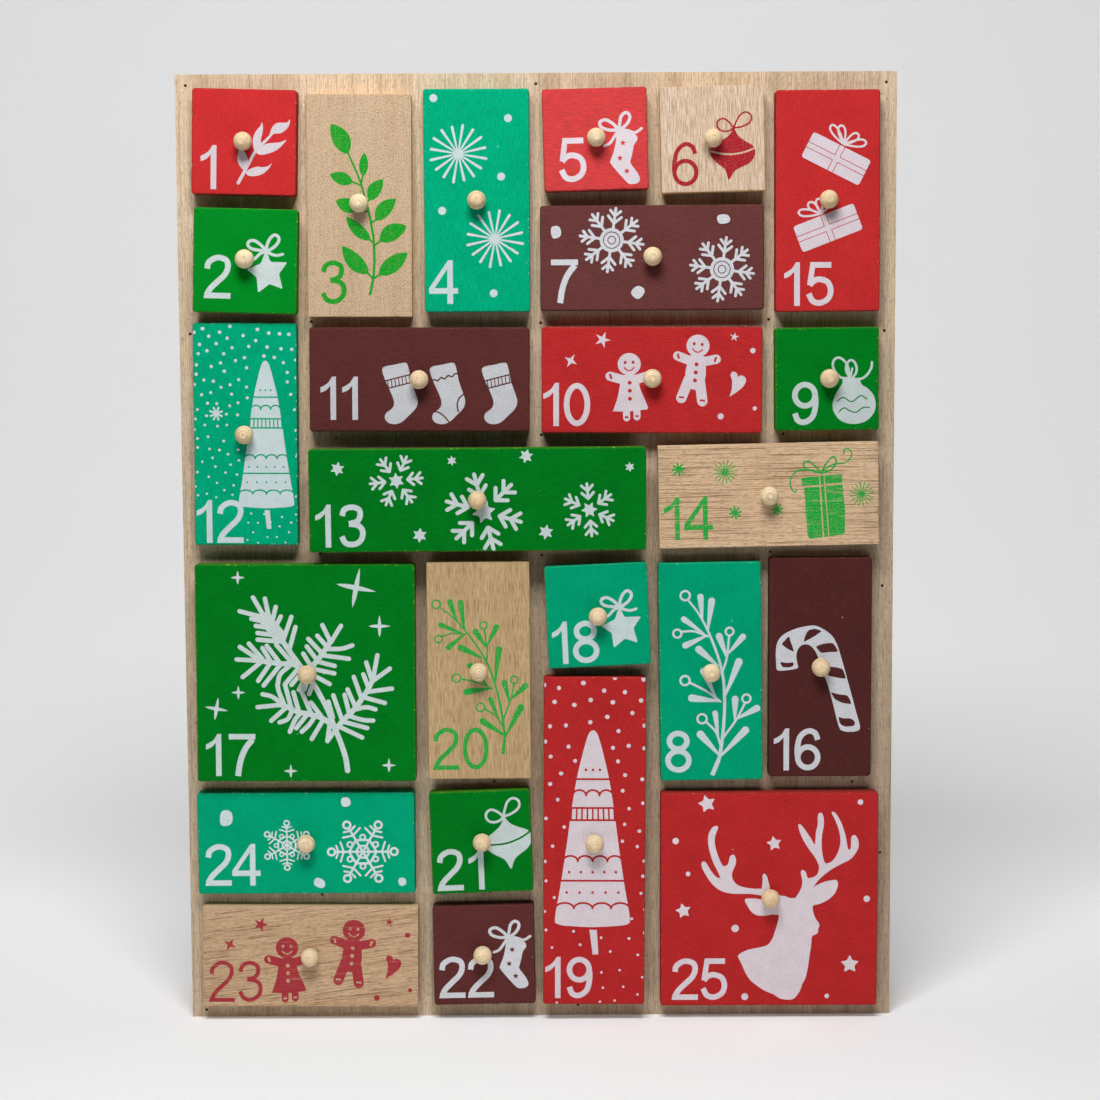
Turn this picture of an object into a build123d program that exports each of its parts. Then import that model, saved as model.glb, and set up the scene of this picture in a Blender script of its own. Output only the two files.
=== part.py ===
from build123d import *
import os
from collections import namedtuple
from math import sqrt

# Wooden advent calendar: twenty-five drawers in a box with a pierced front panel.
# Millimetres. X runs to the viewer's right, Y from front to back, Z up.
# The origin is the centre of the base.

# Case
panel_width = 300.0
panel_height = 400.0
panel_thickness = 4.0
back_thickness = 3.0
board_thickness = 9.0
board_depth = 53.0
column_count = 6
row_count = 8
lap_clearance = 0.05

# The panel's windows are a little smaller than the compartments behind them
window_lip_side = 0.75
window_lip_top = 0.75

# Drawer fronts
front_thickness = 7.0
front_gap_across = 5.2
front_gap_up = 5.5
paint_corner_radius = 1.3
paint_rim_radius = 0.7
bare_corner_radius = 0.5
bare_rim_radius = 0.3

# Trays
tray_wall = 3.0
tray_floor = 3.0
tray_side_clearance = 0.5
tray_floor_clearance = 0.3
tray_top_clearance = 2.5
tray_end_clearance = 1.0
front_seat_clearance = 0.3

# Knobs
knob_diameter = 8.2
knob_neck_diameter = 5.2
knob_neck_length = 1.0
knob_tip_diameter = 2.6
dowel_diameter = 3.6
dowel_length = 5.0
dowel_clearance = 0.05
dowel_end_clearance = 0.5

# Brads
brad_diameter = 1.2
brad_length = 16.0
brad_sink = 0.4
brad_clearance = 0.03

# Each drawer's cell: column from the left, row from the top, columns wide, rows high.
# The fronts are cut and glued on by hand, so each sits a little right, up and turned (degrees,
# anticlockwise), and may be a little wider or taller than its kind, with its knob off its middle.
# Some drawers stand a little open.
fields = "column row wide high right up turn ajar wider taller knob_right knob_up painted"
Drawer = namedtuple("Drawer", fields, defaults=(0.0, 0.0, 0.0, 0.0, True))
drawers = {
    1: Drawer(0, 0, 1, 1, 0.7, 0.4, -1.5, 0.6),
    2: Drawer(0, 1, 1, 1, 0.8, 0.5, -1.7, 4.0, wider=-0.2, taller=-0.2, knob_right=0.3, knob_up=0.6),
    3: Drawer(1, 0, 1, 2, -0.5, -1.4, -0.3, 0.0, taller=-0.8, knob_up=0.8, painted=False),
    4: Drawer(2, 0, 1, 2, -0.4, 0.4, 0.0, 0.5, wider=0.5, taller=-0.7),
    5: Drawer(3, 0, 1, 1, 0.2, 0.8, 1.4, 1.0, taller=-1.5, knob_right=0.3, knob_up=0.4),
    6: Drawer(4, 0, 1, 1, 0.0, 0.6, 1.3, 2.0, wider=-0.5, taller=-0.2, painted=False),
    7: Drawer(3, 1, 2, 1, -0.6, 1.1, 0.1, 0.4, wider=1.2, knob_up=0.4),
    8: Drawer(4, 4, 1, 2, -0.4, -1.1, 0.7, 0.6, taller=0.5),
    9: Drawer(5, 2, 1, 1, -0.5, -0.5, 0.4, 0.0, taller=-0.5, knob_right=0.5, knob_up=0.2),
    10: Drawer(3, 2, 2, 1, -0.8, -0.6, -0.3, 0.8, wider=0.2, taller=0.9, knob_up=0.7),
    11: Drawer(1, 2, 2, 1, -0.6, 0.1, -0.3, 0.5),
    12: Drawer(0, 2, 1, 2, -0.8, 2.0, -0.4, 0.0, taller=0.6),
    13: Drawer(1, 3, 3, 1, -0.8, -0.8, 0.2, 8.5, taller=-0.3),
    14: Drawer(4, 3, 2, 1, -0.8, 0.2, 0.9, 3.8, wider=0.1, taller=-0.4, painted=False),
    15: Drawer(5, 0, 1, 2, -0.7, -0.4, 0.2, 0.6, taller=-1.3, knob_up=0.4),
    16: Drawer(5, 4, 1, 2, -2.6, 0.4, 0.0, 0.0, taller=1.0, knob_right=-0.2, knob_up=0.6),
    17: Drawer(0, 4, 2, 2, -0.9, -0.4, -0.2, 4.5, wider=0.3, taller=-0.1, knob_right=1.0),
    18: Drawer(3, 4, 1, 1, 0.5, -0.9, 2.5, 5.0, wider=-0.2, taller=-0.2),
    19: Drawer(3, 5, 1, 3, -1.2, 0.2, -0.4, 3.0, wider=-0.1, taller=-0.2),
    20: Drawer(2, 4, 1, 2, -0.9, 0.4, 0.2, 5.0, wider=-0.2, taller=-0.5, painted=False),
    21: Drawer(2, 6, 1, 1, -0.6, 0.6, 1.9, 4.0, wider=-0.6, taller=0.4, knob_right=0.5, knob_up=0.5),
    22: Drawer(2, 7, 1, 1, 0.2, -0.1, 0.8, 1.0, taller=-0.2, knob_right=-0.5, knob_up=0.9),
    23: Drawer(0, 7, 2, 1, -1.0, -0.8, -0.4, 0.3, knob_up=0.8, painted=False),
    24: Drawer(0, 6, 2, 1, -2.2, -0.5, 0.0, 0.0, wider=0.4, taller=0.4, knob_right=0.3, knob_up=0.5),
    25: Drawer(4, 6, 2, 2, 0.3, -1.2, -0.1, 0.8, wider=0.6, knob_right=0.3, knob_up=1.4),
}

# Shelves: row line, first and last column line. Uprights: column line, first and last row line.
Shelf = namedtuple("Shelf", "line start end")
Upright = namedtuple("Upright", "line start end")
shelf_lines = [
    Shelf(1, 0, 1),
    Shelf(1, 3, 5),
    Shelf(2, 0, 6),
    Shelf(3, 1, 6),
    Shelf(4, 0, 6),
    Shelf(5, 3, 4),
    Shelf(6, 0, 3),
    Shelf(6, 4, 6),
    Shelf(7, 0, 3),
]
upright_lines = [
    Upright(1, 0, 4),
    Upright(2, 0, 2),
    Upright(2, 4, 8),
    Upright(3, 0, 3),
    Upright(3, 4, 8),
    Upright(4, 0, 1),
    Upright(4, 3, 8),
    Upright(5, 0, 3),
    Upright(5, 4, 6),
]

# Brads: column line and row line, with the fractions at which they were driven
front_brad_lines = [
    (0, 0), (3, 0), (6, 0),
    (0, 2.1), (1.05, 2), (3.03, 2.02), (5, 2), (6, 2.1),
    (1.25, 3), (3.03, 2.98), (5.13, 2.98),
    (1.1, 4), (3.03, 4.02), (5.02, 4), (6, 4.3),
    (3.52, 4.97), (0, 5.47),
    (0.85, 5.98), (2.6, 6), (4.17, 5.98), (5.75, 6.02), (6, 6.65),
    (1.07, 7), (2.56, 6.98), (0.03, 8.03), (3.33, 8),
]
back_brad_lines = [
    (0, 0), (2, 0), (4, 0), (6, 0),
    (0, 2), (1.5, 2), (4.5, 2), (6, 2),
    (0, 4), (1.5, 4), (4.5, 4), (6, 4),
    (0, 6), (1.5, 6), (5, 6), (6, 6),
    (0, 8), (2, 8), (4, 8), (6, 8),
]

# Places that follow from the sizes above
column_pitch = (panel_width - board_thickness) / column_count
row_pitch = (panel_height - board_thickness) / row_count
half_board = board_thickness / 2
panel_face = -(panel_thickness + board_depth + back_thickness) / 2
boards_front = panel_face + panel_thickness
boards_back = boards_front + board_depth
boards_middle = (boards_front + boards_back) / 2
back_face = boards_back + back_thickness
tray_length = front_seat_clearance + panel_thickness + board_depth - tray_end_clearance


def line_x(column):
    """X of a column line, counted from the left."""
    return -panel_width / 2 + half_board + column * column_pitch


def line_z(row):
    """Z of a row line, counted from the top."""
    return panel_height - half_board - row * row_pitch


def block(low, high):
    """A box between two opposite corners."""
    sizes = [b - a for a, b in zip(low, high)]
    return Pos(*low) * Box(*sizes, align=(Align.MIN, Align.MIN, Align.MIN))


def rod(x, z, start, end, diameter):
    """A cylinder along Y from start to end."""
    middle = (start + end) / 2
    return Pos(x, middle, z) * Rot(90, 0, 0) * Cylinder(diameter / 2, end - start)


def window(drawer):
    """Left, right, bottom and top of the drawer's window in the panel."""
    left = line_x(drawer.column) + half_board + window_lip_side
    right = line_x(drawer.column + drawer.wide) - half_board - window_lip_side
    bottom = line_z(drawer.row + drawer.high) + half_board
    top = line_z(drawer.row) - half_board - window_lip_top
    return left, right, bottom, top


def seat(drawer):
    """Y of the drawer front's back face."""
    return panel_face - front_seat_clearance - drawer.ajar


def front_middle(drawer):
    """X and Z of the middle of the drawer front."""
    x = (line_x(drawer.column) + line_x(drawer.column + drawer.wide)) / 2 + drawer.right
    z = (line_z(drawer.row) + line_z(drawer.row + drawer.high)) / 2 + drawer.up
    return x, z


def knob_place(drawer):
    """X and Z of the knob, at or near the middle of the front."""
    x, z = front_middle(drawer)
    return x + drawer.knob_right, z + drawer.knob_up


def make_front(drawer):
    """Thick board with rounded corners and front rim, and a blind hole for the knob's dowel."""
    width = drawer.wide * column_pitch - front_gap_across + drawer.wider
    height = drawer.high * row_pitch - front_gap_up + drawer.taller
    corner = paint_corner_radius if drawer.painted else bare_corner_radius
    rim = paint_rim_radius if drawer.painted else bare_rim_radius
    board = Box(width, front_thickness, height)
    board = fillet(board.edges().filter_by(Axis.Y), corner)
    board = fillet(board.faces().sort_by(Axis.Y)[0].edges(), rim)
    x, z = front_middle(drawer)
    board = Pos(x, seat(drawer) - front_thickness / 2, z) * Rot(0, -drawer.turn, 0) * board
    face = seat(drawer) - front_thickness
    hole_end = face + dowel_length + dowel_end_clearance
    return board - rod(*knob_place(drawer), face, hole_end, dowel_diameter + 2 * dowel_clearance)


def make_knob(drawer):
    """Turned ball on a short neck, with a flat tip and a dowel that goes into the front."""
    ball = knob_diameter / 2
    neck = knob_neck_diameter / 2
    tip = knob_tip_diameter / 2
    dowel = dowel_diameter / 2
    ball_middle = knob_neck_length + sqrt(ball**2 - neck**2)
    tip_height = ball_middle + sqrt(ball**2 - tip**2)
    outline = Polyline(
        (tip, tip_height), (0, tip_height), (0, -dowel_length), (dowel, -dowel_length),
        (dowel, 0), (neck, 0), (neck, knob_neck_length),
    )
    outline += ThreePointArc((neck, knob_neck_length), (ball, ball_middle), (tip, tip_height))
    knob = revolve(Plane.XZ * make_face(outline), Axis.Z)
    x, z = knob_place(drawer)
    return Pos(x, seat(drawer) - front_thickness, z) * Rot(90, 0, 0) * knob


def make_tray(drawer):
    """Floor, two side walls and a back wall behind the front, open at the top."""
    left, right, bottom, top = window(drawer)
    left += tray_side_clearance
    right -= tray_side_clearance
    bottom += tray_floor_clearance
    top -= tray_top_clearance
    start = seat(drawer)
    end = start + tray_length
    on_floor = bottom + tray_floor
    floor = block((left, start, bottom), (right, end, on_floor))
    left_wall = block((left, start, on_floor), (left + tray_wall, end, top))
    right_wall = block((right - tray_wall, start, on_floor), (right, end, top))
    back_wall = block((left + tray_wall, end - tray_wall, on_floor), (right - tray_wall, end, top))
    return [floor, left_wall, right_wall, back_wall]


def crosses(shelf, upright):
    """True where a shelf and an upright run through each other."""
    return shelf.start < upright.line < shelf.end and upright.start < shelf.line < upright.end


def lap(shelf, upright, start, end):
    """The slot in one of two crossing boards, between two depths, as long as the other is thick."""
    reach = half_board + lap_clearance
    x = line_x(upright.line)
    z = line_z(shelf.line)
    return block((x - reach, start, z - reach), (x + reach, end, z + reach))


def make_shelf(shelf):
    """A level divider, slotted from the front where an upright crosses it."""
    z = line_z(shelf.line)
    board = block(
        (line_x(shelf.start) + half_board, boards_front, z - half_board),
        (line_x(shelf.end) - half_board, boards_back, z + half_board),
    )
    for upright in upright_lines:
        if crosses(shelf, upright):
            board -= lap(shelf, upright, boards_front, boards_middle)
    return board


def make_upright(upright):
    """A standing divider, slotted from the back where a shelf crosses it."""
    x = line_x(upright.line)
    board = block(
        (x - half_board, boards_front, line_z(upright.end) + half_board),
        (x + half_board, boards_back, line_z(upright.start) - half_board),
    )
    for shelf in shelf_lines:
        if crosses(shelf, upright):
            board -= lap(shelf, upright, boards_middle, boards_back)
    return board


def driven(places, face, inward, sink, diameter):
    """Rods driven from a face, from a little below it to the depth that the brads reach."""
    near = face + inward * sink
    far = face + inward * (brad_sink + brad_length)
    start, end = sorted((near, far))
    return [rod(line_x(column), line_z(row), start, end, diameter) for column, row in places]


front_pins = driven(front_brad_lines, panel_face, 1, brad_sink, brad_diameter)
back_pins = driven(back_brad_lines, back_face, -1, brad_sink, brad_diameter)
hole_diameter = brad_diameter + 2 * brad_clearance
brad_holes = driven(front_brad_lines, panel_face, 1, 0, hole_diameter)
brad_holes += driven(back_brad_lines, back_face, -1, 0, hole_diameter)


def drilled(board):
    """The board with every brad hole that meets it."""
    box = board.bounding_box()
    for hole in brad_holes:
        at = hole.bounding_box()
        beside = at.max.X < box.min.X or at.min.X > box.max.X
        above = at.max.Z < box.min.Z or at.min.Z > box.max.Z
        apart = at.max.Y < box.min.Y or at.min.Y > box.max.Y
        if not (beside or above or apart):
            board -= hole
    return board


def make_front_panel():
    """The pierced panel: a window for each drawer and a hole for each brad."""
    half_width = panel_width / 2
    panel = block((-half_width, panel_face, 0), (half_width, boards_front, panel_height))
    for drawer in drawers.values():
        left, right, bottom, top = window(drawer)
        panel -= block((left, panel_face, bottom), (right, boards_front, top))
    return drilled(panel)


def make_back_panel():
    """The plain back, with a hole for each brad."""
    half_width = panel_width / 2
    return drilled(block((-half_width, boards_back, 0), (half_width, back_face, panel_height)))


def outer_board(left, right, bottom, top):
    """A board of the outer box, as deep as the dividers."""
    return drilled(block((left, boards_front, bottom), (right, boards_back, top)))


def save(name, solids):
    """Writes one node, which may hold several separate solids."""
    shape = Compound(label=name, children=solids) if len(solids) > 1 else solids[0]
    export_step(shape, f"parts/{name}.step")


os.makedirs("parts", exist_ok=True)

edge = panel_width / 2
inside = edge - board_thickness
save("front_panel", [make_front_panel()])
save("back_panel", [make_back_panel()])
save("left_side", [outer_board(-edge, -inside, 0, panel_height)])
save("right_side", [outer_board(inside, edge, 0, panel_height)])
save("top_board", [outer_board(-inside, inside, panel_height - board_thickness, panel_height)])
save("bottom_board", [outer_board(-inside, inside, 0, board_thickness)])
save("shelves", [drilled(make_shelf(shelf)) for shelf in shelf_lines])
save("uprights", [drilled(make_upright(upright)) for upright in upright_lines])
save("front_brads", front_pins)
save("back_brads", back_pins)

for number, drawer in drawers.items():
    save(f"drawer_{number:02d}_front", [make_front(drawer)])
    save(f"drawer_{number:02d}_tray_and_knob", make_tray(drawer) + [make_knob(drawer)])
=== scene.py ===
import cmath
import math
import random

import bmesh
import bpy
from mathutils import Matrix, Vector, noise
from mathutils.geometry import delaunay_2d_cdt


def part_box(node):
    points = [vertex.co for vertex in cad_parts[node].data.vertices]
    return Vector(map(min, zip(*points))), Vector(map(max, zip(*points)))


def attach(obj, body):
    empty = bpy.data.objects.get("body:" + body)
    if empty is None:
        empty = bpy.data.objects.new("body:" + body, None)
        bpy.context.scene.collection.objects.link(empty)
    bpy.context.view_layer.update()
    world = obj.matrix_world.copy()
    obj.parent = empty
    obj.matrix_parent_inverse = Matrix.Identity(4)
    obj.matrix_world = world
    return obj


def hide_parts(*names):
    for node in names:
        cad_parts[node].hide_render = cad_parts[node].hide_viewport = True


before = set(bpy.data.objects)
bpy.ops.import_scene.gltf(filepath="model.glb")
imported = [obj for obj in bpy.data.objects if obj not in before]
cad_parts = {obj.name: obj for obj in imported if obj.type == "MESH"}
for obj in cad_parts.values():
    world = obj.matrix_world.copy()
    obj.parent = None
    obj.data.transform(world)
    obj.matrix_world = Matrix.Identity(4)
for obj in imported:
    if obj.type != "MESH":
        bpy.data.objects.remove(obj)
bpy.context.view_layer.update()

# Wooden advent calendar. Drawings are in millimetres from a front's lower left corner, meshes in metres.
MM = 0.001

# Fronts: the colour of each, and how far each is turned in its plane, anticlockwise, in degrees
PAINTS = {
    "red": (1, 5, 10, 15, 19, 25),
    "green": (2, 9, 13, 17, 21),
    "turquoise": (4, 8, 12, 18, 24),
    "brown": (7, 11, 16, 22),
}
TURNS = {
    1: -1.5, 2: -1.7, 3: -0.3, 4: 0.0, 5: 1.4, 6: 1.3, 7: 0.1, 8: 0.7, 9: 0.4, 10: -0.3, 11: -0.3, 12: -0.4,
    13: 0.2, 14: 0.9, 15: 0.2, 16: 0.0, 17: -0.2, 18: 2.5, 19: -0.4, 20: 0.2, 21: 1.9, 22: 0.8, 23: -0.4,
    24: 0.0, 25: -0.1,
}
# Knobs off the middle of their fronts and prints off their usual place: right, up and the size of the print
KNOB_SHIFTS = {
    2: (0.3, 0.6), 3: (0.0, 0.8), 5: (0.3, 0.4), 7: (0.0, 0.4), 9: (0.5, 0.2), 10: (0.0, 0.7),
    15: (0.0, 0.4), 16: (-0.2, 0.6), 17: (1.0, 0.0), 21: (0.5, 0.5), 22: (-0.5, 0.9), 23: (0.0, 0.8),
    24: (0.3, 0.5), 25: (0.3, 1.4),
}
PRINT_SHIFTS = {
    1: (0.1, -0.4), 2: (0.5, -0.8, 0.996), 3: (0.2, 0.4), 4: (0.35, -0.8), 5: (0.0, -1.15), 6: (-0.3, -0.5),
    7: (0.7, 0.0), 8: (0.0, 0.6), 9: (-0.1, 0.25), 10: (0.2, 0.35), 11: (0.1, -0.1), 12: (0.3, -0.4),
    13: (0.6, 0.1, 0.993), 14: (0.0, -0.15, 0.997), 15: (-0.4, -0.8), 16: (0.1, 0.9), 17: (0.45, 0.4, 0.997),
    18: (0.1, 0.35, 0.995), 19: (0.05, 0.3, 0.997), 20: (0.0, 0.0, 0.995), 21: (-0.1, 1.0, 0.996),
    22: (-0.05, 0.95), 23: (-0.1, 1.2), 24: (1.25, 1.1), 25: (0.05, 1.35),
}
# What sets single painted fronts apart: how light paint and ink are, partly their own tone and partly painted
# light that follows how the lamp lights each row, a painted sheen, and brush lines across and up
TONES_AND_PAINTED_LIGHT = {
    1: 1.07, 2: 1.23, 4: 1.03, 5: 1.12, 7: 1.16, 8: 0.9, 9: 0.93, 10: 0.9, 11: 0.94, 13: 0.86, 15: 0.97,
    16: 0.73, 17: 0.9, 18: 0.89, 19: 0.86, 21: 0.88, 22: 1.02, 24: 0.96, 25: 0.87,
}
# Ink lightness per front, mostly painted shade: darker on the upper and middle rows than at the foot
INK_TONES_AND_PAINTED_SHADE = {
    1: 0.81, 2: 0.87, 4: 0.82, 5: 0.88, 7: 0.88, 8: 0.82, 9: 0.78, 10: 0.82, 11: 0.77, 12: 0.83, 13: 0.82,
    15: 0.83, 16: 0.85, 17: 0.87, 18: 0.81, 19: 0.85, 21: 0.83, 22: 0.91, 24: 0.9, 25: 0.88,
}
# Painted sheen: a little grey added to the paint of a few fronts, standing in for reflected light
PAINTED_SHEENS = {5: 0.022, 7: 0.006}
LEVEL_LINES = {
    2: 0.3, 5: 0.9, 7: 0.7, 9: 0.5, 10: 0.5, 11: 0.6, 13: 0.5, 17: 0.4, 21: 0.3, 22: 0.5, 24: 0.2, 25: 0.4,
}
UPRIGHT_LINES = {1: 0.3, 4: 0.6, 8: 0.2, 12: 0.6, 15: 0.4, 16: 0.6, 18: 0.2, 19: 0.4}

# Boards: round corners and rims, a wavering edge, and knocks along the rim
PAINTED_CORNER = 1.3
PAINTED_RIM = 0.7
BARE_CORNER = 0.5
BARE_RIM = 0.3
CORNER_STEPS = 6
SHARPEST_CORNER = 0.02
RIM_STEPS = 4
EDGE_STEP = 0.9
EDGE_WAVER = 0.1
WAVER_SCALE = 0.16
WAVER_APART = 7.3
BOARD_SEED = 100
FEWEST_KNOCKS = 3
KNOCK_EVERY = 45
KNOCK_LENGTHS = (0.4, 1.1)
KNOCK_DEPTHS = (0.12, 0.4)
KNOCK_REACH = 2.5
KNOCK_DROP = 0.45
KNOCK_WEAR = 1.5

# Print: ink above and below the face, its distance from the rim, and the digits
INK_LIFT = 0.035
INK_SINK = 0.05
PRINT_MARGIN = 0.35
DIGIT_STROKE = 2.35
DIGIT_HEIGHT = 18
# Drawing: the smallest area that takes ink, how near two points are one, and how often a dot of snow is tried
SMALLEST_AREA = 1e-4
SAME_PLACE = 1e-4
SNOW_TRIES = 2600

# Knob and tray
KNOB_DIAMETER = 8.2
KNOB_NECK_DIAMETER = 5.2
KNOB_NECK_LENGTH = 1.0
KNOB_TIP_DIAMETER = 2.6
KNOB_SINK = 0.05
KNOB_SEED = 200
BALL_SHARES = (0.93, 0.97)
TIP_SHARES = (0.8, 1.0)
KNOB_RINGS = 30
KNOB_SEGMENTS = 48
TOOL_DEPTH = 0.018
TOOL_MARGIN = 0.02
TOOL_STEP = 2.4
TRAY_WALL = 3.0
TRAY_FLOOR = 3.0
TRAY_EDGE = 0.3


# Curves, as lists of complex numbers

def around(radius, angle):
    """A place on a circle, the angle in degrees."""
    return cmath.rect(radius, math.radians(angle))


def smooth(points, closed=False, steps=5):
    """A curve through the points."""
    knots = [complex(*p) for p in points]
    count = len(knots)
    curve = []
    for i in range(count if closed else count - 1):
        b = knots[i]
        c = knots[(i + 1) % count]
        a = knots[i - 1] if closed or i else 2 * b - c
        d = knots[(i + 2) % count] if closed or i + 2 < count else 2 * c - b
        for k in range(steps):
            t = k / steps
            bend = (2 * a - 5 * b + 4 * c - d) * t**2 + (3 * b - a - 3 * c + d) * t**3
            curve.append(b + ((c - a) * t + bend) / 2)
    if not closed:
        curve.append(knots[-1])
    return curve


def corners(*points):
    """Straight runs between points."""
    return [complex(*p) for p in points]


def rounded(points, radius):
    """A closed outline with its corners rounded off."""
    knots = corners(*points)
    outline = []
    for before, corner, after in zip(knots[-1:] + knots[:-1], knots, knots[1:] + knots[:1]):
        start = corner + (before - corner) * min(0.45, radius / abs(before - corner))
        end = corner + (after - corner) * min(0.45, radius / abs(after - corner))
        for k in range(5):
            t = k / 4
            outline.append(start * (1 - t)**2 + 2 * corner * t * (1 - t) + end * t**2)
    return outline


def oval(x, y, rx, ry=None, turn=0.0):
    """A circle or an ellipse."""
    ry = rx if ry is None else ry
    count = max(12, min(40, round(9 * math.sqrt(rx + ry))))
    along = around(1, turn)
    angles = [2 * math.pi * k / count for k in range(count)]
    return [complex(x, y) + along * complex(rx * math.cos(a), ry * math.sin(a)) for a in angles]


def arc(x, y, rx, ry, start, end):
    """Part of an ellipse, from one angle to another in degrees."""
    count = max(4, round(abs(end - start) / 15))
    angles = [math.radians(start + (end - start) * k / count) for k in range(count + 1)]
    return [complex(x + rx * math.cos(a), y + ry * math.sin(a)) for a in angles]


def star_points(x, y, radius, points, waist, turn):
    """Corners of a star, from the tip at the angle turn."""
    reaches = [radius, radius * waist] * points
    places = [around(reach, turn + 180 * k / points) for k, reach in enumerate(reaches)]
    return [(x + place.real, y + place.imag) for place in places]


class Pen:
    """Draws ink, or leaves bare patches in it, in the order in which the shapes are given."""

    def __init__(self, shapes=None, origin=0j, along=1 + 0j):
        self.shapes = [] if shapes is None else shapes
        self.origin = origin
        self.along = along

    def at(self, x, y, size=1.0, turn=0.0):
        """A pen with its own origin, scale and turn on the same print."""
        along = self.along * size * around(1, turn)
        return Pen(self.shapes, self.origin + self.along * complex(x, y), along)

    def fill(self, outline, ink=True):
        """A closed shape, unless it has no area."""
        placed = [self.origin + self.along * p for p in outline]
        area = sum((a.conjugate() * b).imag for a, b in zip(placed, placed[1:] + placed[:1]))
        if abs(area) > SMALLEST_AREA:
            self.shapes.append((placed if area > 0 else placed[::-1], ink))

    def dot(self, x, y, rx, ry=None, turn=0.0, ink=True):
        self.fill(oval(x, y, rx, ry, turn), ink)

    def line(self, curve, width, end_width=None, ink=True, closed=False, round_ends=True):
        """A stroke of even or tapering width."""
        end_width = width if end_width is None else end_width
        if closed:
            curve = curve + curve[:1]
        last = len(curve) - 1
        sides = []
        for i, point in enumerate(curve):
            before = curve[i - 1] if i else (curve[-2] if closed else curve[0])
            after = curve[i + 1] if i < last else (curve[1] if closed else curve[last])
            half = (width + (end_width - width) * i / last) / 2
            across = 1j * (after - before) / abs(after - before) * half
            sides.append((point + across, point - across))
        for (left, right), (next_left, next_right) in zip(sides, sides[1:]):
            self.fill([right, next_right, next_left], ink)
            self.fill([right, next_left, left], ink)
        if round_ends and not closed:
            self.dot(curve[0].real, curve[0].imag, width / 2, ink=ink)
            self.dot(curve[-1].real, curve[-1].imag, end_width / 2, ink=ink)

    def stroke(self, points, width, end_width=None, ink=True, round_ends=True):
        """A smooth stroke through a few points."""
        self.line(smooth(points), width, end_width, ink, round_ends=round_ends)

    def ring(self, x, y, radius, width, ink=True):
        self.line(oval(x, y, radius), width, ink=ink, closed=True)

    def star(self, x, y, radius, points=5, waist=0.45, turn=90.0, ink=True):
        self.fill(corners(*star_points(x, y, radius, points, waist, turn)), ink)

    def soft_star(self, x, y, radius, points, turn):
        """A star with blunt, rounded tips."""
        self.fill(rounded(star_points(x, y, radius * 1.08, points, 0.48, turn), radius * 0.22))

    def burst(self, x, y, radius, rays, width, turn=0.0, root=1.0):
        """Straight rays from one middle, where they may be thinner by the share root."""
        for k in range(rays):
            length = radius * (1 + 0.03 * math.sin(2.3 * k * k))
            ray = around(length, turn + 360 * k / rays)
            self.line([complex(x, y), complex(x, y) + ray * 0.5, complex(x, y) + ray], width * root, width)

    def sparkle(self, x, y, radius, turn=0.0):
        """Two long thin crossed points."""
        along = around(radius, turn)
        for way in (along, along * 1j):
            start, end = complex(x, y) - way, complex(x, y) + way
            self.leaf((start.real, start.imag), (end.real, end.imag), 0.75 + 0.15 * radius)

    def leaf(self, base, tip, width, lean=0.0):
        """A full leaf with two pointed ends, bent to one side by the share lean."""
        start, end = complex(*base), complex(*tip)
        along = end - start
        across = 1j * along / abs(along) * width / 2
        profile = [(0.0, 0.0), (0.13, 0.55), (0.3, 0.9), (0.47, 1.0), (0.68, 0.84), (0.87, 0.45), (1.0, 0.0)]
        sides = []
        for side in (-1, 1):
            points = []
            for t, w in profile:
                point = start + along * t + across * w * side + 1j * along * lean * 4 * t * (1 - t)
                points.append((point.real, point.imag))
            sides.append(smooth(points, steps=3))
        self.fill(sides[0] + sides[1][-2:0:-1])

    def drop(self, base, tip, width):
        """A leaf that swells from a thin stalk to a round end."""
        start, end = complex(*base), complex(*tip)
        along = (end - start) / abs(end - start)
        reach = abs(end - start) - width / 2
        swell = start + along * reach * 0.7
        self.line([start, start + along * reach * 0.35, swell], width * 0.25, width * 0.82)
        self.line([swell, start + along * reach], width * 0.82, width)


# Motifs

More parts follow.
